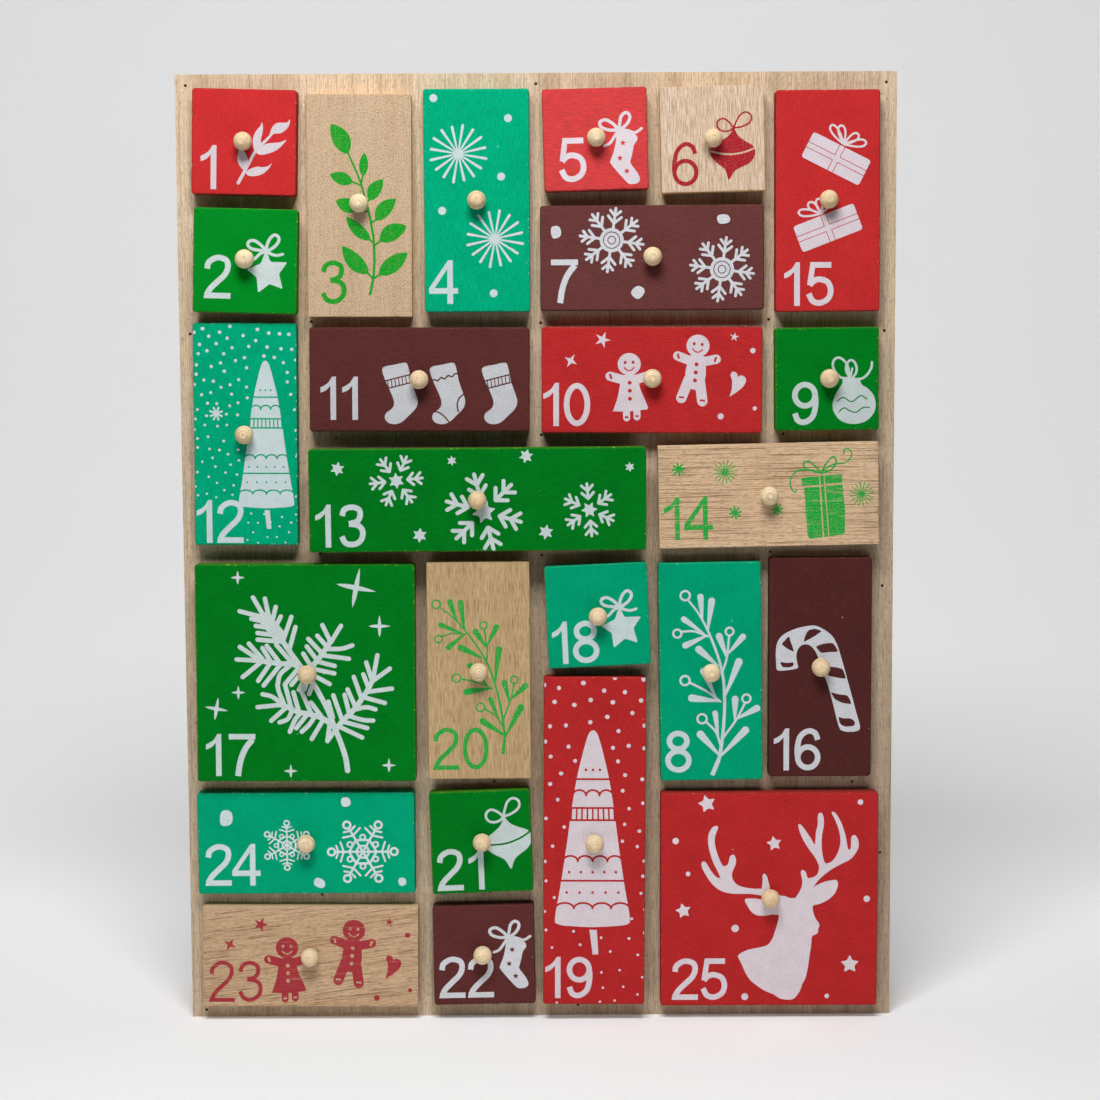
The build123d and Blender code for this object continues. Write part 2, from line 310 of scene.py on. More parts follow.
def draw_digit(pen, digit, stroke):
    """A plain digit in a stroke of even width; origin at its lower left."""
    half = stroke / 2
    top = DIGIT_HEIGHT
    if digit == "0":
        pen.line(oval(5.5, 9, 5.5 - half, 9 - half), stroke, closed=True)
    elif digit == "1":
        flag = smooth([(4.9, top), (3.4, 15.7), (1.9, 14.5), (0, 13.5)])
        under = smooth([(0, 11.3), (2.3, 12.3), (6.5 - stroke, 14.2)])
        pen.fill(corners((6.5 - stroke, 0), (6.5, 0), (6.5, top)) + flag + under)
    elif digit == "2":
        hook = [(1.6, 12.2), (2.3, 14.9), (5.7, top - half), (9.4, 15.9), (10.2, 13.1), (9, 10)]
        pen.stroke(hook + [(6.2, 7.2), (3, 4), (1.4, half)], stroke, round_ends=False)
        pen.fill(corners((0.15, 0), (11.4, 0), (11.4, stroke), (0.75, stroke)))
    elif digit == "3":
        pen.stroke([
            (1.3, 13.2), (2.3, 15.8), (5.2, top - half), (8.3, 15.9), (8.9, 13.4), (7.6, 10.9), (4.2, 9.8),
        ], stroke, round_ends=False)
        pen.stroke(
            [(4.2, 9.8), (7.8, 9.2), (9.7, 7.2), (9.6, 4), (7.9, 1.9), (5.2, half), (2.5, 1.9), (1.1, 4.6)],
            stroke, round_ends=False,
        )
    elif digit == "4":
        post = 9.9 - stroke
        pen.fill(corners(
            (post, 0), (9.9, 0), (9.9, top), (post + 0.4, top), (0, 6.5), (0, 4.2), (post, 4.2),
        ))
        pen.fill(corners((9.5, 4.2), (12, 4.2), (12, 4.2 + stroke), (9.5, 4.2 + stroke)))
        pen.fill(corners((2.3, 4.2 + stroke), (post, 4.2 + stroke), (post, 14.3)), ink=False)
    elif digit == "5":
        pen.fill(corners(
            (1.9, top), (0.5, 8.6), (2.7, 8.3), (3.8, top - stroke), (10.5, top - stroke), (10.5, top),
        ))
        pen.stroke([
            (1.5, 8.5), (3.4, 10.3), (5.9, 10.9), (9.1, 9.6), (10.3, 6.3), (9.2, 2.9), (5.9, half),
            (2.8, 2), (1.2, 5),
        ], stroke, round_ends=False)
    elif digit in "69":
        turned = pen if digit == "6" else pen.at(11, top, 1, 180)
        turned.line(oval(5.6, 5.6, 5.4 - half, 5.6 - half), stroke, closed=True)
        turned.stroke(
            [(half, 6.2), (1.25, 10.2), (2.5, 14.6), (5.7, top - half), (8.6, 16), (9.8, 13.1)], stroke,
            round_ends=False,
        )
    elif digit == "7":
        pen.fill(corners((0, top - stroke), (11.2, top - stroke), (11.2, top), (0, top)))
        pen.stroke([(10, top - stroke), (6.8, 11.5), (4.7, 6), (3.7, 0)], stroke * 1.05, round_ends=False)
    elif digit == "8":
        pen.line(oval(5.6, 13.5, 4.9 - half, 4.5 - half), stroke, closed=True)
        pen.line(oval(5.6, 5.2, 5.6 - half, 5.2 - half), stroke, closed=True)


def draw_bow(pen, width, left, right, tails=()):
    """Two loops and two tails that leave a knot at the pen's origin."""
    for loop in (left, right):
        pen.stroke([(0, 0)] + loop + [(0, 0)], width)
    for tail in tails:
        pen.stroke([(0, 0)] + tail, width, width * 0.85)


def draw_hung_star(pen):
    """Five-pointed star under a small bow; origin at the knot."""
    pen.fill(rounded([
        (0, 0.6), (1.9, -4.5), (9, -4.5), (5.5, -9.3), (7.1, -15.6), (1.7, -13.6), (-3.1, -17.4),
        (-3.7, -11), (-8, -7.8), (-2.1, -5.3),
    ], 0.9))
    draw_bow(
        pen, 1.3, [(-2.3, 2.5), (-5, 4.1), (-7.1, 3.6), (-7.5, 2.1), (-6.1, 0.8), (-3.3, 0.2)],
        [(0.5, 2.7), (1.7, 5.2), (3.5, 6.6), (5.1, 5.7), (5.1, 3.9), (3.5, 1.8), (1.2, 0.3)],
        [[(2, -1.2), (4.5, -1.8), (7, -1.2)], [(-2.3, -1.2), (-4.5, -3.3), (-5.8, -4.3)]],
    )


def draw_hung_stocking(pen):
    """Small stocking with three stars cut out, under a bow; origin at the knot."""
    pen.fill(smooth([
        (-0.2, -0.2), (2.1, -0.4), (4.6, -1), (6.9, -2.2), (7.6, -3.3), (7.4, -4.6), (6.1, -6.4),
        (5.5, -9.1), (4.8, -11.6), (4.4, -13.3), (5.2, -14.8), (7.1, -17.4), (8.2, -19.9), (7.9, -21.3),
        (6.6, -22.1), (4.6, -22.3), (3.2, -21.8), (1.8, -20.3), (-0.4, -17.8), (-2.6, -15.1), (-3.8, -13.3),
        (-3.6, -12), (-2.4, -9.1), (-1.6, -6.1), (-1.1, -3.1), (-1, -1.1),
    ], closed=True, steps=3))
    for x, y in ((1.6, -5.4), (0.2, -11.5), (2.9, -16.9)):
        pen.star(x, y, 1.35, ink=False)
    draw_bow(
        pen, 1.3, [(-2.2, 2.4), (-5.1, 4.2), (-7.3, 3.7), (-7.8, 2.4), (-6.6, 0.9), (-3.7, 0)],
        [(0.5, 2.8), (1.1, 5.4), (2.8, 6.9), (4.4, 6.2), (4.6, 4.4), (3.4, 2.3), (1.4, 0.6)],
        [[(3.6, -0.4), (6.6, -1.3), (9.4, 0.3)], [(-1.8, -2.6), (-3.8, -5.3), (-6.2, -6.4)]],
    )


def draw_finial(pen, loop_width):
    """Bauble drawn out to a point, with a band round it; origin at the knot."""
    pen.fill(smooth([
        (0.1, 0.2), (0.8, -1.3), (2.1, -3.5), (4.6, -5.4), (7.1, -6.9), (8.2, -7.9), (8.7, -9), (8.6, -11),
        (7.6, -13.1), (5.6, -14.9), (2.8, -16.1), (0.5, -17.3), (-0.9, -18.9), (-1.7, -20.4), (-2.4, -21),
        (-2.9, -20), (-3.4, -18), (-4.4, -16.3), (-6.4, -14.7), (-8.5, -12.7), (-9.6, -11), (-10, -9.5),
        (-9.7, -8.2), (-8.4, -6.5), (-5.2, -5), (-2.9, -3.7), (-1.4, -2.3), (-0.5, -0.7),
    ], closed=True, steps=3))
    pen.stroke(
        [(-10.6, -9), (-6.4, -10.1), (-1.4, -10.7), (3.6, -10.1), (7.1, -9), (9.2, -7.9)], 0.75, ink=False,
    )
    draw_bow(
        pen, loop_width,
        [(-1.9, 2.5), (-4.1, 3.9), (-6.1, 3.2), (-6.8, 1.4), (-5.9, -0.5), (-3.9, -1.3), (-1.8, -1.1)],
        [(1.2, 2.7), (2.9, 5.3), (5, 6.3), (6.9, 5.4), (7.4, 3.6), (6.3, 1.7), (3.2, 0.4)],
    )


def draw_round_bauble(pen):
    """Round bauble with waves on it and a loose ribbon."""
    pen.fill(smooth([
        (24, 10), (25, 6.5), (28, 3.4), (33, 2.3), (38, 3.5), (41.2, 6.8), (42, 10.5), (41, 14.4),
        (38.5, 17.2), (36.5, 18.4), (35.7, 19.6), (35.2, 21.2), (31.8, 21.5), (28.5, 21), (28, 19.2),
        (26.8, 17.2), (25, 14.3),
    ], closed=True))
    pen.stroke([
        (26.2, 12), (27.5, 13.1), (29, 13.2), (30.5, 12.2), (32, 11.6), (33.5, 12.4), (34.8, 13.6),
        (36.3, 14), (38.3, 12.6),
    ], 0.5, ink=False)
    pen.stroke([
        (26.8, 7.5), (28, 8.7), (29.3, 9), (30.8, 8), (32.5, 7.3), (34.2, 7.3), (35.5, 8.3), (37.2, 9.2),
        (39.3, 9.1),
    ], 0.5, ink=False)
    pen.stroke([
        (30.6, 21.4), (27.8, 21.6), (25.6, 23.4), (24.2, 26.2), (24.5, 28.8), (26.4, 30), (28.6, 28.9),
        (30.3, 26.4), (31.2, 22),
    ], 1)
    pen.stroke([
        (31, 21.8), (29.7, 24.5), (29.9, 27), (31.3, 28.8), (33, 28.2), (34, 25.8), (33.8, 23.6),
        (32.4, 21.6),
    ], 1)
    pen.stroke([(31.4, 21.8), (32.2, 25.4)], 0.9)
    pen.stroke([(34, 20.9), (36.5, 21.3), (38.8, 23.2), (40.2, 25.8), (40.4, 27.9)], 1)


def draw_snow_arm(pen, reach, width, branches):
    """One arm of a snowflake along X, with pairs of branches: place, length."""
    pen.line([0j, complex(reach, 0)], width)
    for place, length in branches:
        for side in (45, -45):
            pen.line([complex(place, 0), place + around(length, side)], width)


def draw_ringed_snowflake(pen):
    """Eight arms round a disc with two rings left bare in it."""
    for k in range(8):
        draw_snow_arm(pen.at(0, 0, 1, 82 + 45 * k), 13.2, 1.15, ((7, 3.9), (10, 3)))
    pen.dot(0, 0, 5)
    pen.ring(0, 0, 3.4, 0.4, ink=False)
    pen.ring(0, 0, 1.6, 0.4, ink=False)


def draw_loose_snowflake(pen, turn):
    """A small star and six arms set apart from it."""
    pen.soft_star(0, 0, 3.4, 6, turn + 30)
    for k in range(6):
        start = around(4.7, turn + 60 * k)
        draw_snow_arm(pen.at(start.real, start.imag, 1, turn + 60 * k), 6.3, 1.15, ((0, 3.5), (3.2, 3.3)))


def draw_lace_snowflake(pen, width, turn):
    """Six arms that end in rings, joined by two hexagons with small rings between the arms."""
    for k in range(6):
        arm = pen.at(0, 0, 1, turn + 60 * k)
        arm.line(corners((0, 0), (11.6, 0)), width)
        arm.ring(13.3, 0, 1.5, 1)
        for place, length in ((8.1, 4.4), (10.4, 2.8)):
            for side in (72, -72):
                arm.line([complex(place, 0), place + around(length, side)], width * 0.9)
        for reach in (5.8, 2.9):
            arm.line([complex(reach, 0), around(reach, 60)], width)
        between = around(6.3, 30)
        arm.ring(between.real, between.imag, 1.1, width * 0.85)


def draw_fir(pen):
    """Stylised fir, 61 mm tall, with bands left bare; origin at the middle of its foot."""
    side = [
        (0, 61.2), (1.2, 60.3), (2.2, 57.6), (3.4, 53), (5, 46), (6.6, 36), (8.2, 24), (10, 12), (11.5, 3),
        (10.8, 0.5),
    ]
    mirrored = [(-x, z) for x, z in [(5, -0.2)] + side[:0:-1]]
    pen.fill(smooth(side + [(5, -0.2), (0, -0.4)] + mirrored, closed=True, steps=4))
    pen.fill(corners((-0.9, -1.2), (1.4, -1.3), (1.9, -9), (0.1, -9.1)))

    def half_width(z):
        """Half the fir's width at a height."""
        for (x0, z0), (x1, z1) in zip(side, side[1:]):
            if z1 <= z <= z0:
                return x0 + (x1 - x0) * (z0 - z) / (z0 - z1)
        return 0

    def bar(z):
        reach = half_width(z) + 0.6
        pen.line([complex(-reach, z), complex(reach, z)], 0.62, ink=False)

    def dots(z, count):
        reach = half_width(z) * (0.5 if count == 3 else 0.78)
        for k in range(count):
            pen.dot(reach * (2 * k / (count - 1) - 1), z, 0.42, ink=False)

    def scallops(z, count):
        reach = half_width(z) + 0.5
        for k in range(count):
            middle = reach * ((2 * k + 1) / count - 1)
            pen.line(arc(middle, z - 0.7, reach / count, 1.7, 0, 180), 0.62, ink=False)

    dots(48.9, 3)
    bar(46)
    scallops(41.6, 3)
    bar(37)
    bar(33.2)
    teeth = 8
    for k in range(teeth + 1):
        x = half_width(35) * (2 * k / teeth - 1)
        pen.line([complex(x, 33.2), complex(x * 0.97, 37)], 0.5, ink=False)
    scallops(21, 4)
    dots(16.9, 5)
    bar(14.2)
    dots(10.5, 5)
    scallops(6.2, 4)


def draw_snowfall(pen, width, height, seed, radius, step, keep_off):
    """Dots spread evenly at random, bigger towards the top, clear of the areas in keep_off."""
    pick = random.Random(seed)
    dots = []
    for _ in range(SNOW_TRIES):
        spot = complex(pick.uniform(0, width), pick.uniform(0.5, height))
        clear = all(abs(spot - other) > step for other in dots)
        for left, right, low, high in keep_off:
            clear = clear and not (left < spot.real < right and low < spot.imag < high)
        if clear:
            dots.append(spot)
            size = radius * (0.6 + 0.55 * spot.imag / height)
            pen.dot(spot.real, spot.imag, size * pick.uniform(0.9, 1.1), size)


def draw_stocking(pen, knitted):
    """Wide stocking, toe to the left; origin at the toe's lower left."""
    pen.fill(smooth([
        (0.2, 22.6), (1.4, 24), (5.6, 24.8), (9.6, 25.6), (10.8, 24.6), (11.6, 21.4), (12.4, 17.6),
        (14.2, 12.4), (14.9, 9.6), (14.2, 6.8), (11, 3.4), (8.2, 0.9), (5.4, 0), (2.6, 0.6), (1.2, 2.4),
        (1.7, 4.6), (4.4, 6.8), (5, 9.4), (3.8, 13), (2, 17), (0.9, 19.8),
    ], closed=True))
    if knitted:
        for low in (0, 3.4):
            pen.line([complex(0.6, 17.8 - low), complex(13.2, 21 - low)], 0.55, ink=False)
        for k in range(7):
            x = 2.4 + 1.5 * k
            pen.line(
                [complex(x, 18.2 + 0.25 * (x - 2)), complex(x + 0.4, 14.9 + 0.25 * (x - 2))], 0.4,
                ink=False,
            )
    else:
        wave = [(0.4 + 1.5 * k, 17.6 + 0.42 * k + (0.55 if k % 2 else -0.4)) for k in range(9)]
        pen.stroke(wave, 0.6, ink=False)
        pen.stroke([(14.6, 12.8), (12.4, 10.8), (11.6, 8.2), (12, 5.2)], 0.6, ink=False)
        pen.stroke([(0.8, 5.2), (3.6, 5), (6.2, 3.2), (8.4, 0.6)], 0.6, ink=False)


def draw_gingerbread(pen, dress):
    """Gingerbread figure with a face, buttons and cuffs left bare; origin at the middle of the head."""
    pen.dot(0, 0, 4.9, 4.7)
    pen.line(corners((-2.6, -6.6), (-8.2, -5)), 3.9)
    pen.line(corners((2.6, -6.6), (8.2, -5)), 3.9)
    if dress:
        front = smooth([(-3.2, -4.6), (3.2, -4.6), (3.9, -7.2), (4.6, -10.6), (6.6, -15.4), (7.8, -18.6)])
        hem = smooth([(7.4, -19.3), (0, -20), (-6.6, -19.9), (-6.9, -19.2), (-5.2, -14.4), (-4.2, -9.6)])
        pen.fill(front + hem)
        legs = ((-1.4, -22.8), (3, -22.4))
        for x, low in legs:
            pen.line(corners((x, -18), (x, low)), 3)
    else:
        pen.fill(smooth([
            (-3.4, -4.4), (3.4, -4.4), (4, -8), (4.4, -13), (2.8, -18), (-2.6, -18), (-4.2, -13),
            (-3.9, -8),
        ], closed=True))
        legs = ((-5, -22.6), (4, -23.2))
        for x, low in legs:
            pen.line(corners((x * 0.52, -14.6), (x, low)), 4.4)
    for x in (-1.7, 1.7):
        pen.dot(x, 0.7, 0.62, 0.72, ink=False)
    pen.stroke([(-2.1, -1.5), (-1.1, -2.4), (0, -2.7), (1.1, -2.4), (2.1, -1.5)], 0.55, ink=False)
    for y in (-7.9, -11.3, -14.7):
        pen.dot(0.1, y, 0.85, ink=False)
    for side in (-1, 1):
        cuff = pen.at(side * 7.9, -5.1, 1, -16 * side)
        cuff.fill(corners((-0.45, -1.1), (0.45, -1.1), (0.45, 1.1), (-0.45, 1.1)), ink=False)
    for x, low in legs:
        wide = 0.75 if dress else 1.15
        pen.at(x, low).fill(corners((-wide, -0.1), (wide, -0.1), (wide, 0.7), (-wide, 0.7)), ink=False)


def draw_heart(pen):
    """Long hand-drawn heart; origin at its tip."""
    left = smooth([(1, 3.2), (1.1, 6.6), (0.4, 9), (1.2, 10.4), (2.8, 10), (3.6, 8.2)])
    right = smooth([(4.6, 9), (6.2, 8.4), (6.9, 6.8), (5.8, 4.4), (3, 2)])
    pen.fill(corners((0, 0)) + left + right)


def draw_gift(pen, knot, loops):
    """Flat parcel with ribbon lines left bare and a looped bow; origin at its middle."""
    reach = 13.3
    tall = 5.7
    edge = 1.3
    ribbon = 1.15
    fine = 0.3
    pen.fill(rounded([(-reach, -tall), (reach, -tall), (reach, tall), (-reach, tall)], edge))
    for side in (-ribbon, ribbon):
        for end in (-1, 1):
            pen.line(corners((end * (reach + 1), side), (end * ribbon, side)), fine, ink=False)
            pen.line(corners((side, end * (tall + 1)), (side, end * ribbon)), fine, ink=False)
    for angle, length in loops:
        loop = pen.at(*knot, 1, angle)
        far, near = length * 0.86, length * 0.5
        loop.stroke(
            [(0, 0), (near, 1.25), (far, 1.3), (length, 0), (far, -1.3), (near, -1.25), (0, 0)], 0.85,
        )


def draw_gift_box(pen):
    """Upright parcel with a lid, a ribbon left bare and a curled bow."""
    pen.fill(corners((60.2, 25.2), (76.9, 26.4), (76.9, 30), (59.7, 28.7)))
    pen.fill(corners((60.9, 24.5), (77, 25.7), (78, 15), (77.8, 5), (77, 4.5), (63.2, 3.1), (62.2, 4.2)))
    pen.line(corners((67.3, 31), (68.9, 2.4)), 0.5, ink=False)
    pen.line(corners((69.2, 31), (71.2, 2.4)), 0.4, ink=False)
    draw_bow(
        pen.at(68.2, 30.4), 0.75, [(-3.4, 1), (-6.6, 2.2), (-7.4, 4.6), (-5, 5), (-1.8, 2.2)],
        [(2.4, 4.6), (5.2, 6.8), (6.2, 4.6), (4.6, 1.8), (2, 0.6)],
    )
    pen.stroke(
        [(68, 30.6), (63, 32), (58.2, 31.6), (55.4, 28.6), (55.4, 25), (57, 22.6), (57.8, 23.6)], 0.6,
    )
    pen.stroke([(68.4, 31), (73, 34), (78, 34.6), (80.8, 37.2), (80.2, 40), (78, 40.2), (77.6, 38.4)], 0.6)


def draw_candy_cane(pen):
    """Hooked stick with slanting stripes left bare inside its edge."""
    pen.fill(smooth([
        (3.3, 44.7), (2.9, 47.5), (2.7, 52), (3.2, 56), (5, 59), (8, 61), (12, 62.5), (17, 63.5),
        (20, 63.3), (23.5, 61.5), (26.5, 59), (28.5, 55.5), (30, 51), (32, 44), (34.5, 35), (36.8, 26.5),
        (38.4, 20.7), (37.6, 18.7), (34, 18.2), (31, 18.7), (29.6, 20.2), (28, 26), (26.5, 32), (25, 37.5),
        (23.3, 42), (21.5, 46), (20.5, 50), (19.4, 52.6), (17.5, 54.8), (15.5, 55.6), (13.3, 55),
        (11.8, 53), (11.4, 50.5), (11.8, 47.5), (12.1, 45.6), (9, 44.8), (6, 44.5),
    ], closed=True, steps=3))
    stripes = [
        [(4.4, 48.3), (7, 47.7), (10.3, 48), (10.2, 46.4), (8.5, 45.8), (5.5, 45.9)],
        [(5, 55.7), (8.3, 59.2), (8.7, 57.5), (9.8, 54.5), (10.5, 52.3), (8, 53.5)],
        [(14.3, 56.4), (15, 59), (16.2, 61.5), (19, 62.3), (22.2, 61.2), (19, 59)],
        [(19.4, 54.6), (22.5, 55.8), (26.6, 56.2), (28, 54.5), (29, 52.3), (26, 52.3), (21.8, 51.8)],
        [(24.4, 46.2), (28, 45.8), (31, 45), (32, 42.5), (32.3, 40.8), (29, 41.3), (24.8, 42.2)],
        [(25.9, 35.3), (29, 34.3), (33, 33.8), (34, 32.3), (34.8, 30), (31, 30.5), (27.6, 32.2)],
        [(29.2, 24.8), (31, 24), (34.5, 24), (36.4, 22.6), (36, 20.7), (32, 20.4), (29.9, 21.6)],
    ]
    for stripe in stripes:
        pen.fill(rounded(stripe, 0.9), ink=False)


def draw_mistletoe(pen, stem):
    """Twig with swelling leaves and ring berries, 77 mm tall; stem is the width of its stalks."""
    pen.stroke(
        [(22.2, 2.2), (25, 9.4), (26.8, 22), (27.4, 35), (26.2, 47), (22, 60), (17.4, 69.6), (12.8, 76)],
        stem * 1.7, stem * 0.8,
    )
    pen.line(corners((21.8, 1.6), (25, 9.6)), stem * 1.9, stem * 1.4, round_ends=False)
    twigs = [
        [(26.2, 45), (28.4, 51), (29.6, 60.8)], [(25.6, 33), (20, 37.4), (12.6, 41.4)],
        [(20.6, 60.8), (15, 63), (9.8, 63)], [(27, 18), (32.4, 25.4), (36, 32.2)],
        [(25.6, 14), (23.6, 20), (19.4, 24.6)], [(27.4, 35.4), (29.6, 41)],
    ]
    for twig in twigs:
        pen.stroke(twig, stem)
    berries = [
        (11.3, 78.2, 2), (7.8, 62.2, 1.75), (29.8, 62.7, 1.7), (10.8, 42.2, 2), (36.6, 34.1, 1.8),
        (17.8, 25.8, 2),
    ]
    for x, y, radius in berries:
        pen.dot(x, y, radius + stem * 0.45)
        pen.dot(x, y, radius - stem * 0.5, ink=False)
    leaves = [
        ((18.4, 67.6), (17.6, 78.9), 2.7), ((20.6, 63), (22.6, 77.2), 2.9), ((19, 62), (9.6, 69), 2.5),
        ((20.4, 61.2), (9.9, 56.6), 2.7), ((24.8, 48.2), (15.6, 56.4), 3.1),
        ((28.6, 51.4), (24.9, 62.2), 2.9), ((29, 53.2), (36.3, 61.4), 2.7),
        ((27.8, 35.8), (34.2, 51.3), 3.2), ((23.8, 34.6), (18, 47.4), 2.8), ((25.2, 33.2), (12, 34.9), 3.2),
        ((31.6, 25.2), (31.9, 35.4), 2.9), ((32.6, 25.6), (42.3, 30.6), 2.9),
        ((24.6, 17.6), (23.2, 29.3), 2.4), ((25, 10), (16, 20.4), 3.2), ((25.6, 9.8), (37.2, 21.8), 3.2),
    ]
    for base, tip, width in leaves:
        pen.drop(base, tip, width)


def draw_fir_branch(pen):
    """Branch of blunt needles on a stem and five twigs."""
    stems = [
        [(63, 4.4), (62.3, 9.5), (60.5, 15.5), (58, 22), (55, 30), (52, 36), (49, 41.5), (46, 45.5)],
        [(46, 45.5), (41, 52.4), (36.5, 59), (28.5, 70)], [(44, 48.2), (40, 49.8), (35, 50), (25, 51.4)],
        [(47, 47), (52, 53), (56.5, 59.6)], [(58, 21.5), (61, 25.5), (66, 30.5), (71, 37.5), (74, 43)],
        [(58, 22.5), (53, 26.5), (47, 28.5), (42, 29.5), (38, 31.5), (34.5, 32.6)],
    ]
    for stem in stems:
        pen.stroke(stem, 2.3, 2.1)
    pen.line(corners((29, 69), (35, 61.5)), 5.6)
    needles = [
        [(28.5, 70), (24, 78)], [(30.5, 70), (29, 77.5)], [(32, 68), (33.5, 74)], [(33.5, 66), (35.6, 70)],
        [(36.5, 60), (40, 69.8)], [(39, 56), (41.7, 65.5)], [(28.5, 69.6), (18.3, 72.2)],
        [(30, 67.5), (23.2, 69)], [(32, 65), (25, 66)], [(34.5, 61.8), (25.7, 63)],
        [(36, 59.3), (25.7, 60.2)], [(25, 51.3), (16.8, 51.8)], [(26, 51.8), (18.2, 57.1)],
        [(27.6, 52), (22, 58.5)], [(31, 51), (27.7, 56.6)], [(35, 50.2), (29.5, 57.6)],
        [(40, 50.4), (33.5, 58)], [(26.5, 50.2), (19.2, 44.3)], [(30.5, 49.6), (25.7, 42.7)],
        [(35, 49.4), (28, 40.7)], [(39, 49), (35, 45.4), (33.8, 40.6)], [(42, 47.2), (37, 41.3)],
        [(44, 46), (39.7, 41)], [(56.5, 59), (60.8, 66)], [(56, 60), (53, 66.3)],
        [(54.5, 57.5), (50.8, 61.8)], [(52.5, 54.6), (47, 60.5)], [(50.5, 51.6), (46.3, 57.3)],
        [(47.8, 49.2), (44.8, 54.2)], [(55, 56.2), (61, 56.3), (65.5, 57.7)], [(53.6, 53.4), (64, 52)],
        [(51, 50.8), (58, 49)], [(49.6, 47.6), (57.8, 45.8)], [(49, 45), (55.8, 41.3)],
        [(74, 43), (76, 53.5)], [(73.6, 43), (71.3, 50.4)], [(74, 42.6), (81.2, 47.8)],
        [(72, 40), (70, 45.4)], [(69.2, 35), (66, 44.3)], [(66.6, 31.4), (63.3, 39)],
        [(64, 28.4), (62, 36.7)], [(61, 25.6), (57.3, 36.5)], [(72, 38), (82, 39.3)],
        [(70.2, 35.6), (79, 33.2)], [(66, 30.4), (71, 31.4), (75, 30.5)],
        [(64.2, 27.6), (69.6, 26), (74, 25.7)], [(61.6, 25.2), (71.5, 22.5)], [(59.6, 23.2), (69.3, 18.5)],
        [(34.5, 32.4), (25.3, 31.5)], [(35.4, 33), (31.4, 36), (27.5, 37)], [(37, 31), (31, 25.7)],
        [(40, 30.4), (38, 26.5), (34.5, 25)], [(43.2, 28.8), (41, 26), (38.8, 21)],
        [(46.2, 28.4), (41.5, 22.5)], [(49.6, 27.8), (47, 24), (43.8, 21)], [(53, 26.2), (48, 17.9)],
        [(36.4, 33), (34.4, 38), (33.8, 41)], [(39.4, 31.4), (37, 41)], [(42.6, 30), (40.5, 37.8)],
        [(48, 28.4), (44, 38)], [(52.4, 27.2), (47.8, 33.5)], [(55.8, 25.4), (54.6, 17)],
        [(58.4, 22.4), (54.8, 17.2)], [(57, 27), (55.2, 33.8)], [(45, 43), (42.8, 38.9)],
        [(46.6, 43), (45.2, 39.1)], [(48.6, 41), (47.1, 37.1)],
    ]
    for needle in needles:
        pen.stroke(needle, 1.9)


def draw_leafy_branch(pen):
    """Upright branch with stalked leaves on both sides."""
    pen.stroke([
        (25.7, 9), (26.5, 13), (27.2, 17), (27.5, 24), (27.3, 31), (26.6, 36), (25.7, 41), (24.5, 46),
        (23.4, 50), (22.3, 54), (20.8, 58), (18.8, 62.5), (17, 66.8),
    ], 1.15, 0.75)
    leaves = [
        ((17, 66.4), (9.9, 78.8), 7.2, -0.04), ((23, 57.2), (23.7, 67.1), 3.8, 0),
        ((18.9, 54.9), (9.3, 58.2), 5.2, 0), ((25.4, 47.4), (31.3, 56.2), 5.5, 0.05),
        ((20.6, 43.8), (11.6, 47.4), 5.9, 0), ((28, 39.2), (36.6, 48.2), 6, 0.05),
        ((26.2, 31), (15.9, 40.9), 5, 0.04), ((29.6, 30.7), (41.1, 37), 6.9, 0.06),
        ((25.2, 17.3), (14.2, 28.9), 6.5, 0.05), ((29.2, 16.8), (41.4, 26.1), 6.5, 0),
    ]
    stalks = [
        ((22.2, 54.4), (23, 57.8)), ((22, 53.8), (18.6, 55.1)), ((24, 46), (25.6, 48)),
        ((24.6, 43), (20.4, 44)), ((26, 38), (28.4, 39.7)), ((27.2, 29.8), (25.8, 31.4)),
        ((27.2, 28.6), (30, 31)), ((26.6, 15.6), (24.8, 17.6)), ((26.8, 15.2), (29.6, 17)),
    ]
    for base, tip, width, lean in leaves:
        pen.leaf(base, tip, width, lean)
    for start, end in stalks:
        pen.line(corners(start, end), 0.8)


def draw_sprig(pen):
    """Small sprig of five leaves."""
    pen.stroke(
        [(19.4, 5.3), (21.5, 9.3), (24, 14), (26.3, 18.3), (29, 21.3), (31.5, 23.8), (33, 25.6)], 1.35, 1,
    )
    leaves = [
        [
            (32.3, 25.2), (33, 28), (34.8, 30), (37.5, 30.3), (39.3, 30.4), (40.4, 31.7), (40.2, 29.5),
            (39, 27.6), (36.8, 26), (34.5, 25.8),
        ],
        [
            (26.2, 18.7), (25.3, 21), (25.4, 24), (26.6, 26.7), (28.3, 28.8), (28.9, 30.4), (29.4, 28.5),
            (29.2, 26), (28.6, 23.5), (28.4, 21),
        ],
        [
            (26.5, 18.3), (28.5, 20.2), (31, 21.6), (33.6, 22), (36.5, 22.3), (39, 23.3), (37.5, 21.2),
            (35.3, 19.2), (32, 17.7), (28.4, 17),
        ],
        [
            (22.2, 10.3), (20.2, 12), (19, 14.5), (19.2, 17.3), (20, 19.5), (22.3, 17.5), (23.3, 14.8),
            (23.2, 12.3),
        ],
        [
            (22.5, 9.8), (24.5, 11.3), (27, 12.1), (29.5, 12), (31.7, 12.5), (33.2, 13.7), (31.8, 11.3),
            (29.5, 9.3), (26.5, 8.3), (23.6, 8.4),
        ],
    ]
    for leaf in leaves:
        pen.fill(smooth(leaf, closed=True, steps=4))


